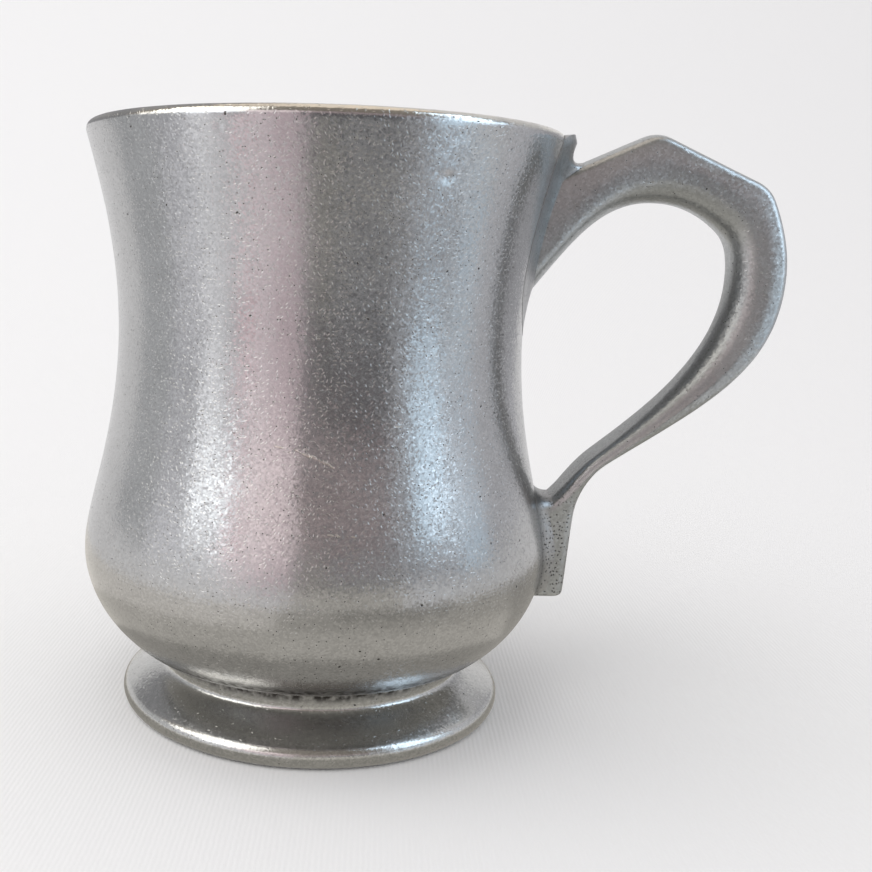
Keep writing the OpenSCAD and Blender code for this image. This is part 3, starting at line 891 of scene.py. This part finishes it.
def facing_shade(tree, normal, height, way, low, high):
    """Mask of painted shade below a height, on faces that look one way."""
    facing = add(tree, VECTOR, normal, way, operation="DOT_PRODUCT")
    inner = add(tree, RANGE, facing, 0.15, 0.6, interpolation_type="SMOOTHSTEP")
    below = add(tree, RANGE, height, high, low, interpolation_type="SMOOTHSTEP")
    dull = add(tree, MATH, inner, below, operation="MULTIPLY")
    return add(tree, MATH, dull, FACING_SHADE, operation="MULTIPLY")


def crease_shade(tree, place, normal, height, clear, full, bare):
    """Mask of patchy painted shade between two heights, none of it on faces that look up."""
    crease_dark = add(tree, RANGE, height, clear, full, interpolation_type="SMOOTHSTEP")
    open_air = add(tree, RANGE, height, bare, full)
    patchy = add(tree, NOISE, place, named={"Scale": 1 / CREASE_SHADE_PATCH, "Detail": 2.0})
    patchy = add(tree, RANGE, patchy, 0.35, 0.6, 0.4)
    hidden = add(tree, RANGE, add(tree, SEPARATE, normal).outputs["Z"], 0.35, 0.1)
    for mask in (patchy, open_air, hidden):
        crease_dark = add(tree, MATH, crease_dark, mask, operation="MULTIPLY")
    return crease_dark


def turned_lines(tree, x, y, height, spacing):
    """Relief of the fine lines that a lathe leaves round the axis."""
    reach = add(tree, VECTOR, add(tree, COMBINE, x, y), operation="LENGTH")
    both = add(tree, MATH, height, reach, operation="ADD")
    named = {"W": both, "Scale": 1 / spacing, "Detail": 3.0}
    return add(tree, NOISE, named=named, noise_dimensions="1D")


def pewter(name, finish, base, rough, grain, dashes, pits, extras):
    """Cast pewter that was tumbled and then worn in use.

    A dull grey tin alloy with a soft, blurred gloss. Tumbling leaves tiny facets, whose tilt is the
    grain, and short strokes every which way that catch the light. The casting leaves pits that soil
    fills, and use rubs the lip bright. Painted shade, in the pits' dark colour, darkens the crease
    under the belly and faces that look one way. The facets and the strokes are drawn a little
    coarser than real ones, so that they show.
    """
    material, tree, shader = new_material(name)
    bright, dirt_and_shade = (*finish.bright_colour, 1), (*finish.pit_and_shade_colour, 1)
    place, normal = coordinates(tree)
    x, y, height = add(tree, SEPARATE, place).outputs
    mottle = add(tree, NOISE, place, named={"Scale": 1 / MOTTLE, "Detail": 4.0})
    fine = add(tree, NOISE, place, named={"Scale": 1 / FINE, "Detail": 2.0, "Roughness": 0.6})
    facets = add(tree, VORONOI, place, named={"Scale": 1 / FACET}).outputs["Color"]
    marks = specks(tree, place, normal, *STROKES, dashes)
    marks = add(tree, MATH, marks, specks(tree, place, normal, *LONG_STROKES), operation="MAXIMUM")
    pits_and_shade = specks(tree, place, normal, *PITS, pits)
    pits_and_shade = add(tree, MATH, pits_and_shade, specks(tree, place, normal, *PIN_HOLES), operation="MAXIMUM")
    if "porous" in extras:
        pores = porous(tree, place, normal, *extras["porous"])
        pits_and_shade = add(tree, MATH, pits_and_shade, pores, operation="MAXIMUM")

    # Layers of tone from the bottom up, as mask and colour, and of relief, as mask and weight
    shine = add(tree, MATH, marks, STROKE_SHINE, operation="MULTIPLY")
    layers = [(shine, bright)]
    relief = [(fine, FINE_UP), (marks, STROKE_UP), (pits_and_shade, PIT_UP)]
    skin = add(tree, RANGE, mottle, 0.3, 0.7)
    gloss = add(tree, RANGE, skin, 0.0, 1.0, rough - ROUGH_SPREAD, rough + ROUGH_SPREAD)
    if "scratches" in extras:
        wavy = wavering(tree, place)
        for row in extras["scratches"]:
            line = scratch(tree, wavy, *row)
            shine = add(tree, MATH, line, SCRATCH_SHINE, operation="MULTIPLY")
            layers.append((shine, bright))
            relief.append((line, SCRATCH_UP))
    if "rubbed" in extras:
        worn = rubbed(tree, mottle, height, *extras["rubbed"])
        layers.append((worn, bright))
        gloss = add(tree, MIX, named={0: worn, 2: gloss, 3: RUBBED_ROUGH})
    if "facing_shade" in extras:
        # Painted shade on faces that look one way, in the dark pit colour
        layers.append((facing_shade(tree, normal, height, *extras["facing_shade"]), dirt_and_shade))
    if "crease_shade" in extras:
        # Painted shade in the crease under the belly, laid over the pits in the same dark colour
        crease_dark = crease_shade(tree, place, normal, height, *extras["crease_shade"])
        pits_and_shade = add(tree, MATH, pits_and_shade, crease_dark, operation="MAXIMUM")
    layers.append((pits_and_shade, dirt_and_shade))
    gloss = add(tree, MIX, named={0: pits_and_shade, 2: gloss, 3: DIRT_ROUGH})
    if "turned" in extras:
        relief.append((turned_lines(tree, x, y, height, extras["turned"]), LINE_UP))

    uneven = add(tree, MIX, named={0: FACET_SHARE, 2: skin, 3: add(tree, SEPARATE, facets)})
    ends = [[min(1.0, c * part) for c in base] for part in (1 - TONE_SPREAD, 1 + TONE_SPREAD)]
    tone = add(tree, MIX, named={0: uneven, 6: (*ends[0], 1), 7: (*ends[1], 1)}, data_type="RGBA")
    for mask, shade in layers:
        tone = add(tree, MIX, named={0: mask, 6: tone, 7: shade}, data_type="RGBA")
    raised = 0.0
    for mask, weight in relief:
        raised = add(tree, MATH, mask, weight, raised, operation="MULTIPLY_ADD")
    bump = add(tree, BUMP, named={"Height": raised, "Distance": RELIEF * MM, "Strength": 1.0})
    # Most facets tilt little and a few much, by the cube of an even spread from -1 to 1
    tilt = add(tree, VECTOR, facets, (2, 2, 2), (-1, -1, -1), operation="MULTIPLY_ADD")
    square = add(tree, VECTOR, tilt, tilt, operation="MULTIPLY")
    tilt = add(tree, VECTOR, square, tilt, operation="MULTIPLY")
    facing = add(tree, VECTOR, tilt, (grain,) * 3, bump, operation="MULTIPLY_ADD")
    facing = add(tree, VECTOR, facing, operation="NORMALIZE")
    wire(tree, shader, {"Metallic": 1.0, "Base Color": tone, "Roughness": gloss, "Normal": facing})
    return material


# Where the tail is porous: its centre and radius
PORES_AT = (52.0, 0.0, 30.0)
PORES_OVER = 22.0


def finish_of(scene, name):
    """The named finish, made on first use."""
    found = bpy.data.materials.get(name)
    if found:
        return found
    f = scene.tankard_finish
    lip = scene.tankard_body.lip_height / MM
    seat = scene.tankard_body.foot_height / MM
    # Colour, roughness, tilt of the facets, shares of strokes and pits, and what else shows
    made = {
        "tumbled_pewter": (f.body_colour, f.body_rough, 0.055, 0.4, 0.08, {
            "rubbed": (lip - 1.6, lip - 0.5),
            # Painted shade on the belly's lowest band, just above its seat on the foot
            "crease_shade": (seat + 3.8, seat + 1.0, seat + 0.2),
            "scratches": SCRATCHES,
        }),
        "turned_pewter": (f.foot_colour, f.foot_rough, 0.05, 0.08, 0.03, {
            # Painted shade on the top of the foot's neck, under the belly's overhang
            "crease_shade": (seat - 4.4, seat - 2.4, seat + 1.0),
            "turned": 0.7,
        }),
        "cast_pewter": (f.handle_colour, f.handle_rough, 0.09, 0.1, 0.04, {
            "porous": (PORES_AT, PORES_OVER, 0.45),
            # Painted shade on the handle's faces that look in towards the body, fading out between 82
            # and 98 mm
            "facing_shade": ((-1, 0, 0), 82.0, 98.0),
        }),
        "filed_solder": (f.solder_colour, f.solder_rough, 0.09, 0.1, 0.06, {
            "porous": (PORES_AT, PORES_OVER, 0.5),
            # Painted shade on the solder's faces that look up in the crook
            "facing_shade": ((0, 0, 1), 54.0, 60.0),
        }),
    }
    return pewter(name, f, *made[name])


# Pieces


def finish_piece(obj, node, sharp=40):
    """Closes a piece, lets it stand for its CAD node and rides it on the body."""
    close_up(obj.data, sharp)
    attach(obj, BODY)
    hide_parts(node)


def skin_values(scene, sizes, finish, seed):
    """Values of the inputs that make a cast skin."""
    return {
        "Skin depth": sizes.skin_depth,
        "Skin size": sizes.skin_size,
        "Seed": seed,
        "Material": finish_of(scene, finish),
    }


LATHE_SEGMENTS = 432
# Outline, material slot, finish and seed of each turned piece
TURNED = {
    "upper_body": (upper_body_loop, "pewter_body", "tumbled_pewter", 1.0),
    "lower_bowl": (lower_bowl_loop, "pewter_body", "tumbled_pewter", 1.0),
    "belly_seam": (belly_seam_loop, "solder", "tumbled_pewter", 1.0),
    "foot_ring": (foot_ring_loop, "pewter_foot", "turned_pewter", 2.0),
    "foot_seam": (foot_seam_loop, "solder", "filed_solder", 2.0),
}


def turned_piece(scene, node):
    """Lathes an outline into the piece that stands for a node."""
    loop, slot, finish, seed = TURNED[node]
    b = scene.tankard_body
    o = BodyOutline(b)
    points = [(r, 0, z) for r, z in loop(b, o)]
    edges = [(i, i + 1) for i in range(len(points) - 1)]
    obj = put(f"tankard_{node}", mesh_from(f"{node}_outline", points, edges=edges))
    values = {"Segments": LATHE_SEGMENTS, **skin_values(scene, b, finish, seed)}
    for mark, (turn, height) in MARKS.items():
        values[f"{mark} place"] = (*o.radius(height) * heading(turn), height)
        values[f"{mark} radius"] = getattr(b, f"{mark.lower()}_radius")
        values[f"{mark} depth"] = getattr(b, f"{mark.lower()}_depth")
    apply_tree(obj, bpy.data.node_groups.get("lathe") or lathe_tree(), values)
    finish_piece(obj, node)


class TANKARD_OT_body(bpy.types.Operator):
    """Turn the two body castings and the solder between them"""

    bl_idname = "tankard.body"
    bl_label = "Body"

    def execute(self, context):
        for node in ("upper_body", "lower_bowl", "belly_seam"):
            turned_piece(context.scene, node)
        return {"FINISHED"}


class TANKARD_OT_foot(bpy.types.Operator):
    """Turn the hollow foot and the solder that holds it"""

    bl_idname = "tankard.foot"
    bl_label = "Foot"

    def execute(self, context):
        for node in ("foot_ring", "foot_seam"):
            turned_piece(context.scene, node)
        return {"FINISHED"}


def skinned(scene, obj, sizes, finish, seed):
    """Gives a form its cast skin and its finish."""
    tree = bpy.data.node_groups.get("cast_skin") or skin_tree()
    apply_tree(obj, tree, skin_values(scene, sizes, finish, seed))


COPE_SEGMENTS = 288


class TANKARD_OT_handle(bpy.types.Operator):
    """Sweep the handle and cope its ends to the body"""

    bl_idname = "tankard.handle"
    bl_label = "Handle"

    def execute(self, context):
        scene = context.scene
        b, h, j = scene.tankard_body, scene.tankard_handle, scene.tankard_joints
        o = BodyOutline(b)
        form = HandleForm(b, h, o)
        obj = put("tankard_handle", tube("handle_form", [form.ring(u) for u in form.stations()]))
        close_up(obj.data)
        skinned(scene, obj, h, "cast_pewter", 3.0)
        grown = o.outside + [j.gap, 0]
        loop = [*grown, [grown[-1][0], HANDLE_TOP * MM + h.grip_width]]
        turns = np.linspace(0, math.tau, COPE_SEGMENTS, endpoint=False)
        rings = [[(r * math.cos(t), r * math.sin(t), z) for t in turns] for r, z in loop]
        cutter = put("cope_form", tube("cope_form", rings))
        close_up(cutter.data)
        cope = obj.modifiers.new("cope", "BOOLEAN")
        cope.operation = "DIFFERENCE"
        cope.solver = "EXACT"
        cope.object = cutter
        evaluate(obj)
        bpy.data.objects.remove(cutter)
        finish_piece(obj, "handle", sharp=50)
        return {"FINISHED"}


# A fillet's face: share by which it hollows towards its corner, and steps across face and seat
HOLLOW = 0.55
FACE_STEPS = 8
SEAT_STEPS = 4
# The pad's crest: its share of the pad's thickness, and the outer edge's share of the crest's rise
CREST_OUT = 0.8
EDGE_UP = 0.35
# The pad wraps over the lip's round edge: turn of the wrap, its steps and its least share
WRAP_TURN = math.radians(75)
WRAP_STEPS = 6
WRAP_LEAST = 0.02
# Stations between which the top arm and the crook leave the body, and from which the tail's sides do
ROOT_STATIONS = (0.0, 0.9)
CROOK_STATIONS = (5.0, 4.2)
TAIL_FROM = 5.1
TAIL_STEPS = 18
STATION_STEP = 0.05
# Points of a section at the ends of its side, by the inner edge and by the back edge
EDGE_IN = INNER_POINTS
EDGE_BACK = INNER_POINTS + SIDE_POINTS
# The tail's end: share of its width with fillet, points across it, and how much the fillet shrinks
END_WIDTH = 0.8
END_POINTS = 9
END_SHRINK = 0.8
HALVINGS = 40


class JointLoop:
    """Corners round one end of the handle, and the solder rings that follow them."""

    def __init__(self, b, o, gap):
        self.b, self.o, self.gap = b, o, gap
        self.corners, self.ways = [], []

    def off(self, p):
        """How far a point lies outside the body."""
        return math.hypot(p[0], p[1]) - self.o.radius(p[2]) - self.gap

    def onto(self, p):
        """The point moved sideways onto the body."""
        grow = (self.o.radius(p[2]) + self.gap) / math.hypot(p[0], p[1])
        return np.array([p[0] * grow, p[1] * grow, p[2]])

    def leaving(self, at, buried, clear):
        """Value between two others where the point that it gives leaves the body."""
        for _ in range(HALVINGS):
            middle = (buried + clear) / 2
            if self.off(at(middle)) < 0:
                buried = middle
            else:
                clear = middle
        return (buried + clear) / 2

    def add(self, corner, way):
        """Adds a corner and the direction from it along the handle."""
        self.corners.append(np.asarray(corner))
        self.ways.append(unit(np.asarray(way)))

    def away(self):
        """Directions along the body, away from the joint, at each corner."""
        c = np.array(self.corners)
        out = unit(np.cross(np.roll(c, -1, 0) - np.roll(c, 1, 0), self.o.normal(c)))
        side = np.sign(np.sum(out * (c - c.mean(0)), axis=1, keepdims=True))
        return out * side

    def wrap(self, on_body, share_up):
        """Points over the lip's round edge, from its lower end up."""
        radius = self.b.lip_wall / 2 + 2 * self.gap
        slope = self.b.lip_slope
        across = np.array([on_body[0], on_body[1], 0]) / math.hypot(on_body[0], on_body[1])
        points = []
        for step in range(1, WRAP_STEPS + 1):
            turn = max(share_up, WRAP_LEAST) * WRAP_TURN * step / WRAP_STEPS - slope
            up = radius * (math.sin(turn) + math.sin(slope))
            points.append(on_body + radius * (math.cos(turn) - math.cos(slope)) * across + [0, 0, up])
        return points

    def ring(self, k, on_body, thick, spread, rise=0.0, share_up=None):
        """Ring from a corner out to the solder's edge on the body and over its hollow face."""
        corner = self.corners[k]
        on_handle = corner + spread * self.ways[k]
        step = thick * self.o.normal(on_body[None])[0]
        lift = np.array([0, 0, rise])
        top = []
        if share_up is not None:
            top = [*self.wrap(on_body, share_up), on_body + CREST_OUT * step + lift]
        edge = on_body + step + EDGE_UP * lift
        pull = corner * HOLLOW + (edge + on_handle) * (1 - HOLLOW) / 2
        t = np.linspace(0, 1, FACE_STEPS + 1)[:, None]
        face = edge * (1 - t) ** 2 + pull * 2 * t * (1 - t) + on_handle * t * t
        parts = np.linspace(0, 1, SEAT_STEPS + 1)
        seat = [self.onto(corner + (on_body - corner) * part) for part in parts]
        return np.array([*seat, *top, *face])


class TANKARD_OT_joints(bpy.types.Operator):
    """Run the solder fillets round the two ends of the handle"""

    bl_idname = "tankard.joints"
    bl_label = "Handle joints"

    def execute(self, context):
        scene = context.scene
        b, j = scene.tankard_body, scene.tankard_joints
        o = BodyOutline(b)
        form = HandleForm(b, scene.tankard_handle, o)
        for node, rings in (("upper_handle_joint", self.upper), ("lower_handle_joint", self.lower)):
            loop = JointLoop(b, o, j.gap)
            obj = put(f"tankard_{node}", tube(node, rings(j, loop, form), closed=True))
            close_up(obj.data)
            skinned(scene, obj, j, "filed_solder", 4.0)
            finish_piece(obj, node, sharp=60)
        return {"FINISHED"}

    def upper(self, j, loop, form):
        """Rings round the upper end, built up on top into a pad that wraps over the lip's edge."""
        for k in range(len(form.ring(0))):
            u = loop.leaving(lambda v: form.ring(v)[k], *ROOT_STATIONS)
            corner = form.ring(u)[k]
            loop.add(corner, form.ring(u + STATION_STEP)[k] - corner)
        rings = []
        for k, out in enumerate(loop.away()):
            corner = loop.corners[k]
            up = float(smooth(out[2]))
            web = float(smooth((corner[2] - form.lip_z + j.web_drop) / j.web_height))
            spot = corner + j.upper_reach * out
            spot[2] += (loop.o.lip_base[1] - spot[2]) * web
            spread = j.upper_spread * (1 - up) + j.top_spread * up
            thick = j.pad * up * up - j.sink * (1 - up)
            rings.append(loop.ring(k, loop.onto(spot), thick, spread, j.pad_rise * up, up))
        return rings

    def lower(self, j, loop, form):
        """Rings up one side of the tail, through the crook, down the other side and across the end."""
        sides = len(form.ring(0))
        flip = np.array([1, -1, 1])
        side = []
        for u in np.linspace(form.end, TAIL_FROM, TAIL_STEPS + 1):
            r = form.ring(u)
            reach = r[EDGE_BACK] - r[EDGE_IN]
            t = loop.leaving(lambda v: r[EDGE_IN] + v * reach, 0.0, 1.0)
            side.append((r[EDGE_IN] + t * reach, reach))
        for corner, way in side:
            loop.add(corner, way)
        for k in [*range(EDGE_IN, -1, -1), *range(sides - 1, sides - EDGE_IN - 1, -1)]:
            u = loop.leaving(lambda v: form.ring(v)[k], *CROOK_STATIONS)
            corner = form.ring(u)[k]
            loop.add(corner, form.ring(u - STATION_STEP)[k] - corner)
        for corner, way in side[::-1]:
            loop.add(corner * flip, way * flip)
        half = side[0][0][1]
        x, z = form.tail_end
        for part in np.linspace(-END_WIDTH, END_WIDTH, END_POINTS):
            loop.add(loop.onto(np.array([x, part * half, z])), [1, 0, 0])
        rings = []
        for k, out in enumerate(loop.away()):
            low, high = float(smooth(-out[2])), float(smooth(out[2]))
            grow = 1 - END_SHRINK * low + j.crook_grow * high
            on_body = loop.onto(loop.corners[k] + j.lower_reach * grow * out)
            rings.append(loop.ring(k, on_body, -j.sink, j.lower_spread * grow))
        return rings


# Stage: each card is seen only in the metal, as a studio's flags and soft boxes are.
# A path gives distances and heights in millimetres.

# Cards at this distance are widened, so that their edges go on from those of the near cards
FAR = 420
FAR_SPREAD = 1.1
LOW = ((175, 37), (175, 62))
HIGH = ((175, 62), (FAR, 62), (FAR, 112))
TOP = ((FAR, 112), (FAR, 240))
UPPER = HIGH + TOP[1:]
SKY = ((415, 200), (318, 370), (230, 420))
# Name, azimuths from the camera's side, path, colour and strength
CARDS = (
    ("left_slot", (-100, -74), LOW + UPPER[1:], "#fbfdff", 0.65),
    ("left_dim_low", (-74, -54), LOW, "#fafaff", 1.1),
    ("left_dim_high", (-74, -54), UPPER, "#fafaff", 0.7),
    ("left_bright_low", (-54, -30), LOW, "#fcfcff", 1.1),
    ("left_bright_high", (-54, -44), UPPER, "#fcfcff", 1.62),
    ("left_soft_high", (-44, -30), UPPER, "#fcfcff", 0.7),
    ("rose_bright", (-30, -20), LOW + HIGH[1:], "#fff0f4", 1.12),
    ("rose_dim", (-20, -6), LOW + HIGH[1:], "#ffe8ee", 0.88),
    ("rose_top", (-30, -6), TOP, "#ffeff0", 1.6),
    ("front_low", (-6, 40), ((176, 1), (176, 37)), "#fffaf0", 0.7),
    ("dark_foot", (-6, 36), ((175, 37), (175, 48)), "#fafaff", 0.16),
    ("dark_sill", (-6, 36), ((175, 48), (175, 54)), "#fafaff", 0.75),
    ("dark_low", (-6, 36), ((175, 54), (175, 62)), "#fafaff", 0.3),
    ("dark_high", (-6, 36), HIGH, "#fafaff", 0.16),
    ("dark_top", (-6, 36), TOP, "#ffeaea", 0.55),
    ("edge_low", (36, 46), LOW, "#fafaff", 0.42),
    ("edge_high", (36, 46), UPPER, "#fafaff", 0.62),
    ("right_low", (46, 68), LOW, "#fafaff", 0.5),
    ("right_low_end", (68, 84), LOW, "#dcefff", 1.1),
    ("right_bright", (46, 62), UPPER, "#d8eeff", 1.75),
    ("shade_low", (84, 130), LOW, "#fafaff", 0.7),
    ("shade_high", (84, 104), UPPER, "#fafaff", 0.8),
    ("shade_back", (104, 130), UPPER, "#fafaff", 0.5),
    ("back_left", (195, 260), ((430, 170), (330, 380), (190, 460)), "#fafaff", 0.35),
    ("left_window", (-60, -37), ((415, 116), (415, 200)), "#f6fbff", 3.2),
    ("right_window", (59, 78), ((415, 110), (415, 200)), "#daeeff", 3.2),
    ("left_sky", (-85, -30), SKY, "#fffcf6", 3.0),
    ("right_sky", (58, 88), SKY, "#d8ecff", 3.2),
    ("pink_spot", (-37, -28), ((172, 61.5), (172, 66)), "#ffa8b2", 1.8),
    ("pale_spot", (-3, 8), ((172, 49), (172, 53)), "#fff6d8", 0.7),
    # Cards just above the cloth stand in for the floor in the metal. Their strengths paint its shade:
    # darkest near the foot, and darker to the right and under the handle where the tankard's shadow
    # falls. There is also a painted shadow in front, to the right.
    ("floor_shade_near", (-180, 180), ((38, 0.6), (53, 0.6)), "#fffaf0", 0.41),
    ("floor_shade_mid", (-180, 180), ((53, 0.6), (80, 0.6)), "#fffaf0", 0.68),
    ("floor_left", (-180, -10), ((80, 0.6), (172, 0.6)), "#fffaf2", 0.9),
    ("floor_shade_right", (-10, 180), ((80, 0.6), (172, 0.6)), "#fffaf0", 0.56),
    ("floor_dark", (10, 58), ((105, 0.8), (172, 0.8)), "#fffaf0", 0.38),
    ("handle_shade", (92, 150), ((48, 0.8), (172, 0.8)), "#fffaf0", 0.42),
    ("ceiling", (-100, 100), ((430, 242), (330, 380), (190, 460)), "#fff2e4", 0.3),
    ("zenith", (-180, 180), ((190, 460), (20, 500)), "#fff2e4", 1.0),
)
CARD_STEP = 5


def card(name, azimuths, path, code, strength):
    """A curved card round the tankard that only mirrored light sees."""
    steps = round((azimuths[1] - azimuths[0]) / CARD_STEP)
    points = []
    for distance, height in path:
        spread = FAR_SPREAD if distance == FAR else 1.0
        for turn in np.radians(np.linspace(*azimuths, steps + 1)) * spread:
            across, ahead = distance * math.sin(turn), -distance * math.cos(turn)
            points.append(np.array([across, ahead, height]) * MM)
    n = steps + 1
    faces = [
        (r * n + c, r * n + c + 1, r * n + n + c + 1, r * n + n + c)
        for r in range(len(path) - 1)
        for c in range(steps)
    ]
    obj = put(f"stage_{name}", mesh_from(name, points, faces))
    material, tree, shader = new_material(f"card_{name}")
    tree.nodes.remove(shader)
    glow = add(tree, "ShaderNodeEmission", (*linear(code), 1), strength)
    wire(tree, tree.nodes["Material Output"], {"Surface": glow})
    obj.data.materials.append(material)
    obj.visible_camera = False
    obj.visible_diffuse = False
    obj.visible_shadow = False
    obj.visible_transmission = False


def cloth(settings):
    """Pale ribbed cotton, matt, with fine ribs and a soft, uneven weave."""
    material, tree, shader = new_material("ribbed_cotton")
    place, _ = coordinates(tree)
    rib = settings.cloth_rib / MM
    # At scale 1 the bands of a wave texture lie a twentieth of two pi apart
    scale = math.tau / 20 / rib
    waver = {"Distortion": 1.6, "Detail": 2.0, "Detail Scale": 1.5}
    ribs = add(tree, "ShaderNodeTexWave", place, named={"Scale": scale, **waver}, bands_direction="X")
    weave = add(tree, NOISE, place, named={"Scale": 2 / rib, "Detail": 3.0})
    raised = add(tree, MATH, weave, 0.6, ribs.outputs[1], operation="MULTIPLY_ADD")
    bump = add(tree, BUMP, named={"Height": raised, "Distance": 0.1 * MM, "Strength": 0.3})
    wire(tree, shader, {
        "Base Color": (*settings.cloth_colour, 1),
        "Roughness": 0.9,
        "Specular IOR Level": 0.2,
        "Normal": bump,
    })
    return material


# The cloth's edges, its height past the curve and how far it lies below the foot, in metres
CLOTH_HALF = 3.0
CLOTH_FRONT = -3.0
CLOTH_TOP = 1.2
CLOTH_DROP = 0.02 * MM
SWEEP_STEPS = 40
# The soft box: both sides, power in watts, place and the point that it faces, in metres
LAMP_SIDES = (1.4, 1.2)
LAMP_POWER = 5.6
LAMP_PLACE = (-0.55, -0.3, 1.0)
LAMP_AIM = (0, 0, 0.05)


class TANKARD_OT_stage(bpy.types.Operator):
    """Lay the cloth, set the light and the camera"""

    bl_idname = "tankard.stage"
    bl_label = "Stage"

    def execute(self, context):
        scene = context.scene
        s = scene.tankard_stage
        scene.view_settings.view_transform = "Standard"
        self.lay_cloth(s)
        for row in CARDS:
            card(*row)
        self.light(scene, s)
        self.camera(scene, s)
        return {"FINISHED"}

    def lay_cloth(self, s):
        """One sheet, flat under the tankard and rising in a wide curve behind it."""
        bend = arc((0, s.sweep_radius), s.sweep_radius, -UPRIGHT, 0, SWEEP_STEPS)
        bend = bend + [s.sweep_start, -CLOTH_DROP]
        profile = [[CLOTH_FRONT, -CLOTH_DROP], *bend, [bend[-1][0], CLOTH_TOP + s.sweep_radius]]
        points = [(x, y, z) for y, z in profile for x in (-CLOTH_HALF, CLOTH_HALF)]
        faces = [(2 * i, 2 * i + 1, 2 * i + 3, 2 * i + 2) for i in range(len(profile) - 1)]
        obj = put("stage_cloth", mesh_from("cloth", points, faces))
        obj.data.shade_smooth()
        obj.data.materials.append(cloth(s))

    def light(self, scene, s):
        """Even light from the room and one wide soft lamp overhead, to the left and in front."""
        world = bpy.data.worlds.new("room")
        world.use_nodes = True
        wire(world.node_tree, world.node_tree.nodes["Background"], {"Color": (*s.sky_colour, 1)})
        scene.world = world
        lamp = bpy.data.lights.new("soft_box", "AREA")
        lamp.shape = "RECTANGLE"
        lamp.size, lamp.size_y = LAMP_SIDES
        lamp.energy = LAMP_POWER
        obj = put("soft_box", lamp)
        obj.visible_glossy = False
        obj.location = LAMP_PLACE
        aim = Vector(LAMP_AIM) - obj.location
        obj.rotation_euler = aim.to_track_quat("-Z", "Y").to_euler()

    def camera(self, scene, s):
        """The photograph's view."""
        data = bpy.data.cameras.new("camera")
        data.lens = s.lens
        data.shift_x = s.shift
        data.clip_start = 10 * MM
        obj = put("camera", data)
        obj.matrix_world = (
            Matrix.Translation((s.view_x, s.view_y, s.view_z))
            @ Matrix.Rotation(s.view_turn, 4, "Z")
            @ Matrix.Rotation(UPRIGHT - s.view_tilt, 4, "X")
            @ Matrix.Rotation(s.view_roll, 4, "Z")
        )
        scene.camera = obj


OPERATORS = (
    TANKARD_OT_body,
    TANKARD_OT_foot,
    TANKARD_OT_handle,
    TANKARD_OT_joints,
    TANKARD_OT_stage,
)


class TANKARD_PT_panel(bpy.types.Panel):
    """Sizes, finishes and the pieces of the tankard"""

    bl_idname = "TANKARD_PT_panel"
    bl_label = "Tankard"
    bl_space_type = "VIEW_3D"
    bl_region_type = "UI"
    bl_category = "Tankard"

    def draw(self, context):
        for operator in OPERATORS:
            self.layout.operator(operator.bl_idname)
        for name, group in GROUPS.items():
            box = self.layout.box()
            box.label(text=group.__doc__)
            for key in group.__annotations__:
                box.prop(getattr(context.scene, name), key)


def register():
    for group in GROUPS.values():
        bpy.utils.register_class(group)
    for operator in OPERATORS:
        bpy.utils.register_class(operator)
    bpy.utils.register_class(TANKARD_PT_panel)
    for name, group in GROUPS.items():
        setattr(bpy.types.Scene, name, bpy.props.PointerProperty(type=group))


def unregister():
    for name in GROUPS:
        delattr(bpy.types.Scene, name)
    bpy.utils.unregister_class(TANKARD_PT_panel)
    for operator in reversed(OPERATORS):
        bpy.utils.unregister_class(operator)
    for group in reversed(GROUPS.values()):
        bpy.utils.unregister_class(group)


def main():
    register()
    bpy.ops.tankard.body()
    bpy.ops.tankard.foot()
    bpy.ops.tankard.handle()
    bpy.ops.tankard.joints()
    bpy.ops.tankard.stage()


if __name__ == "__main__":
    main()
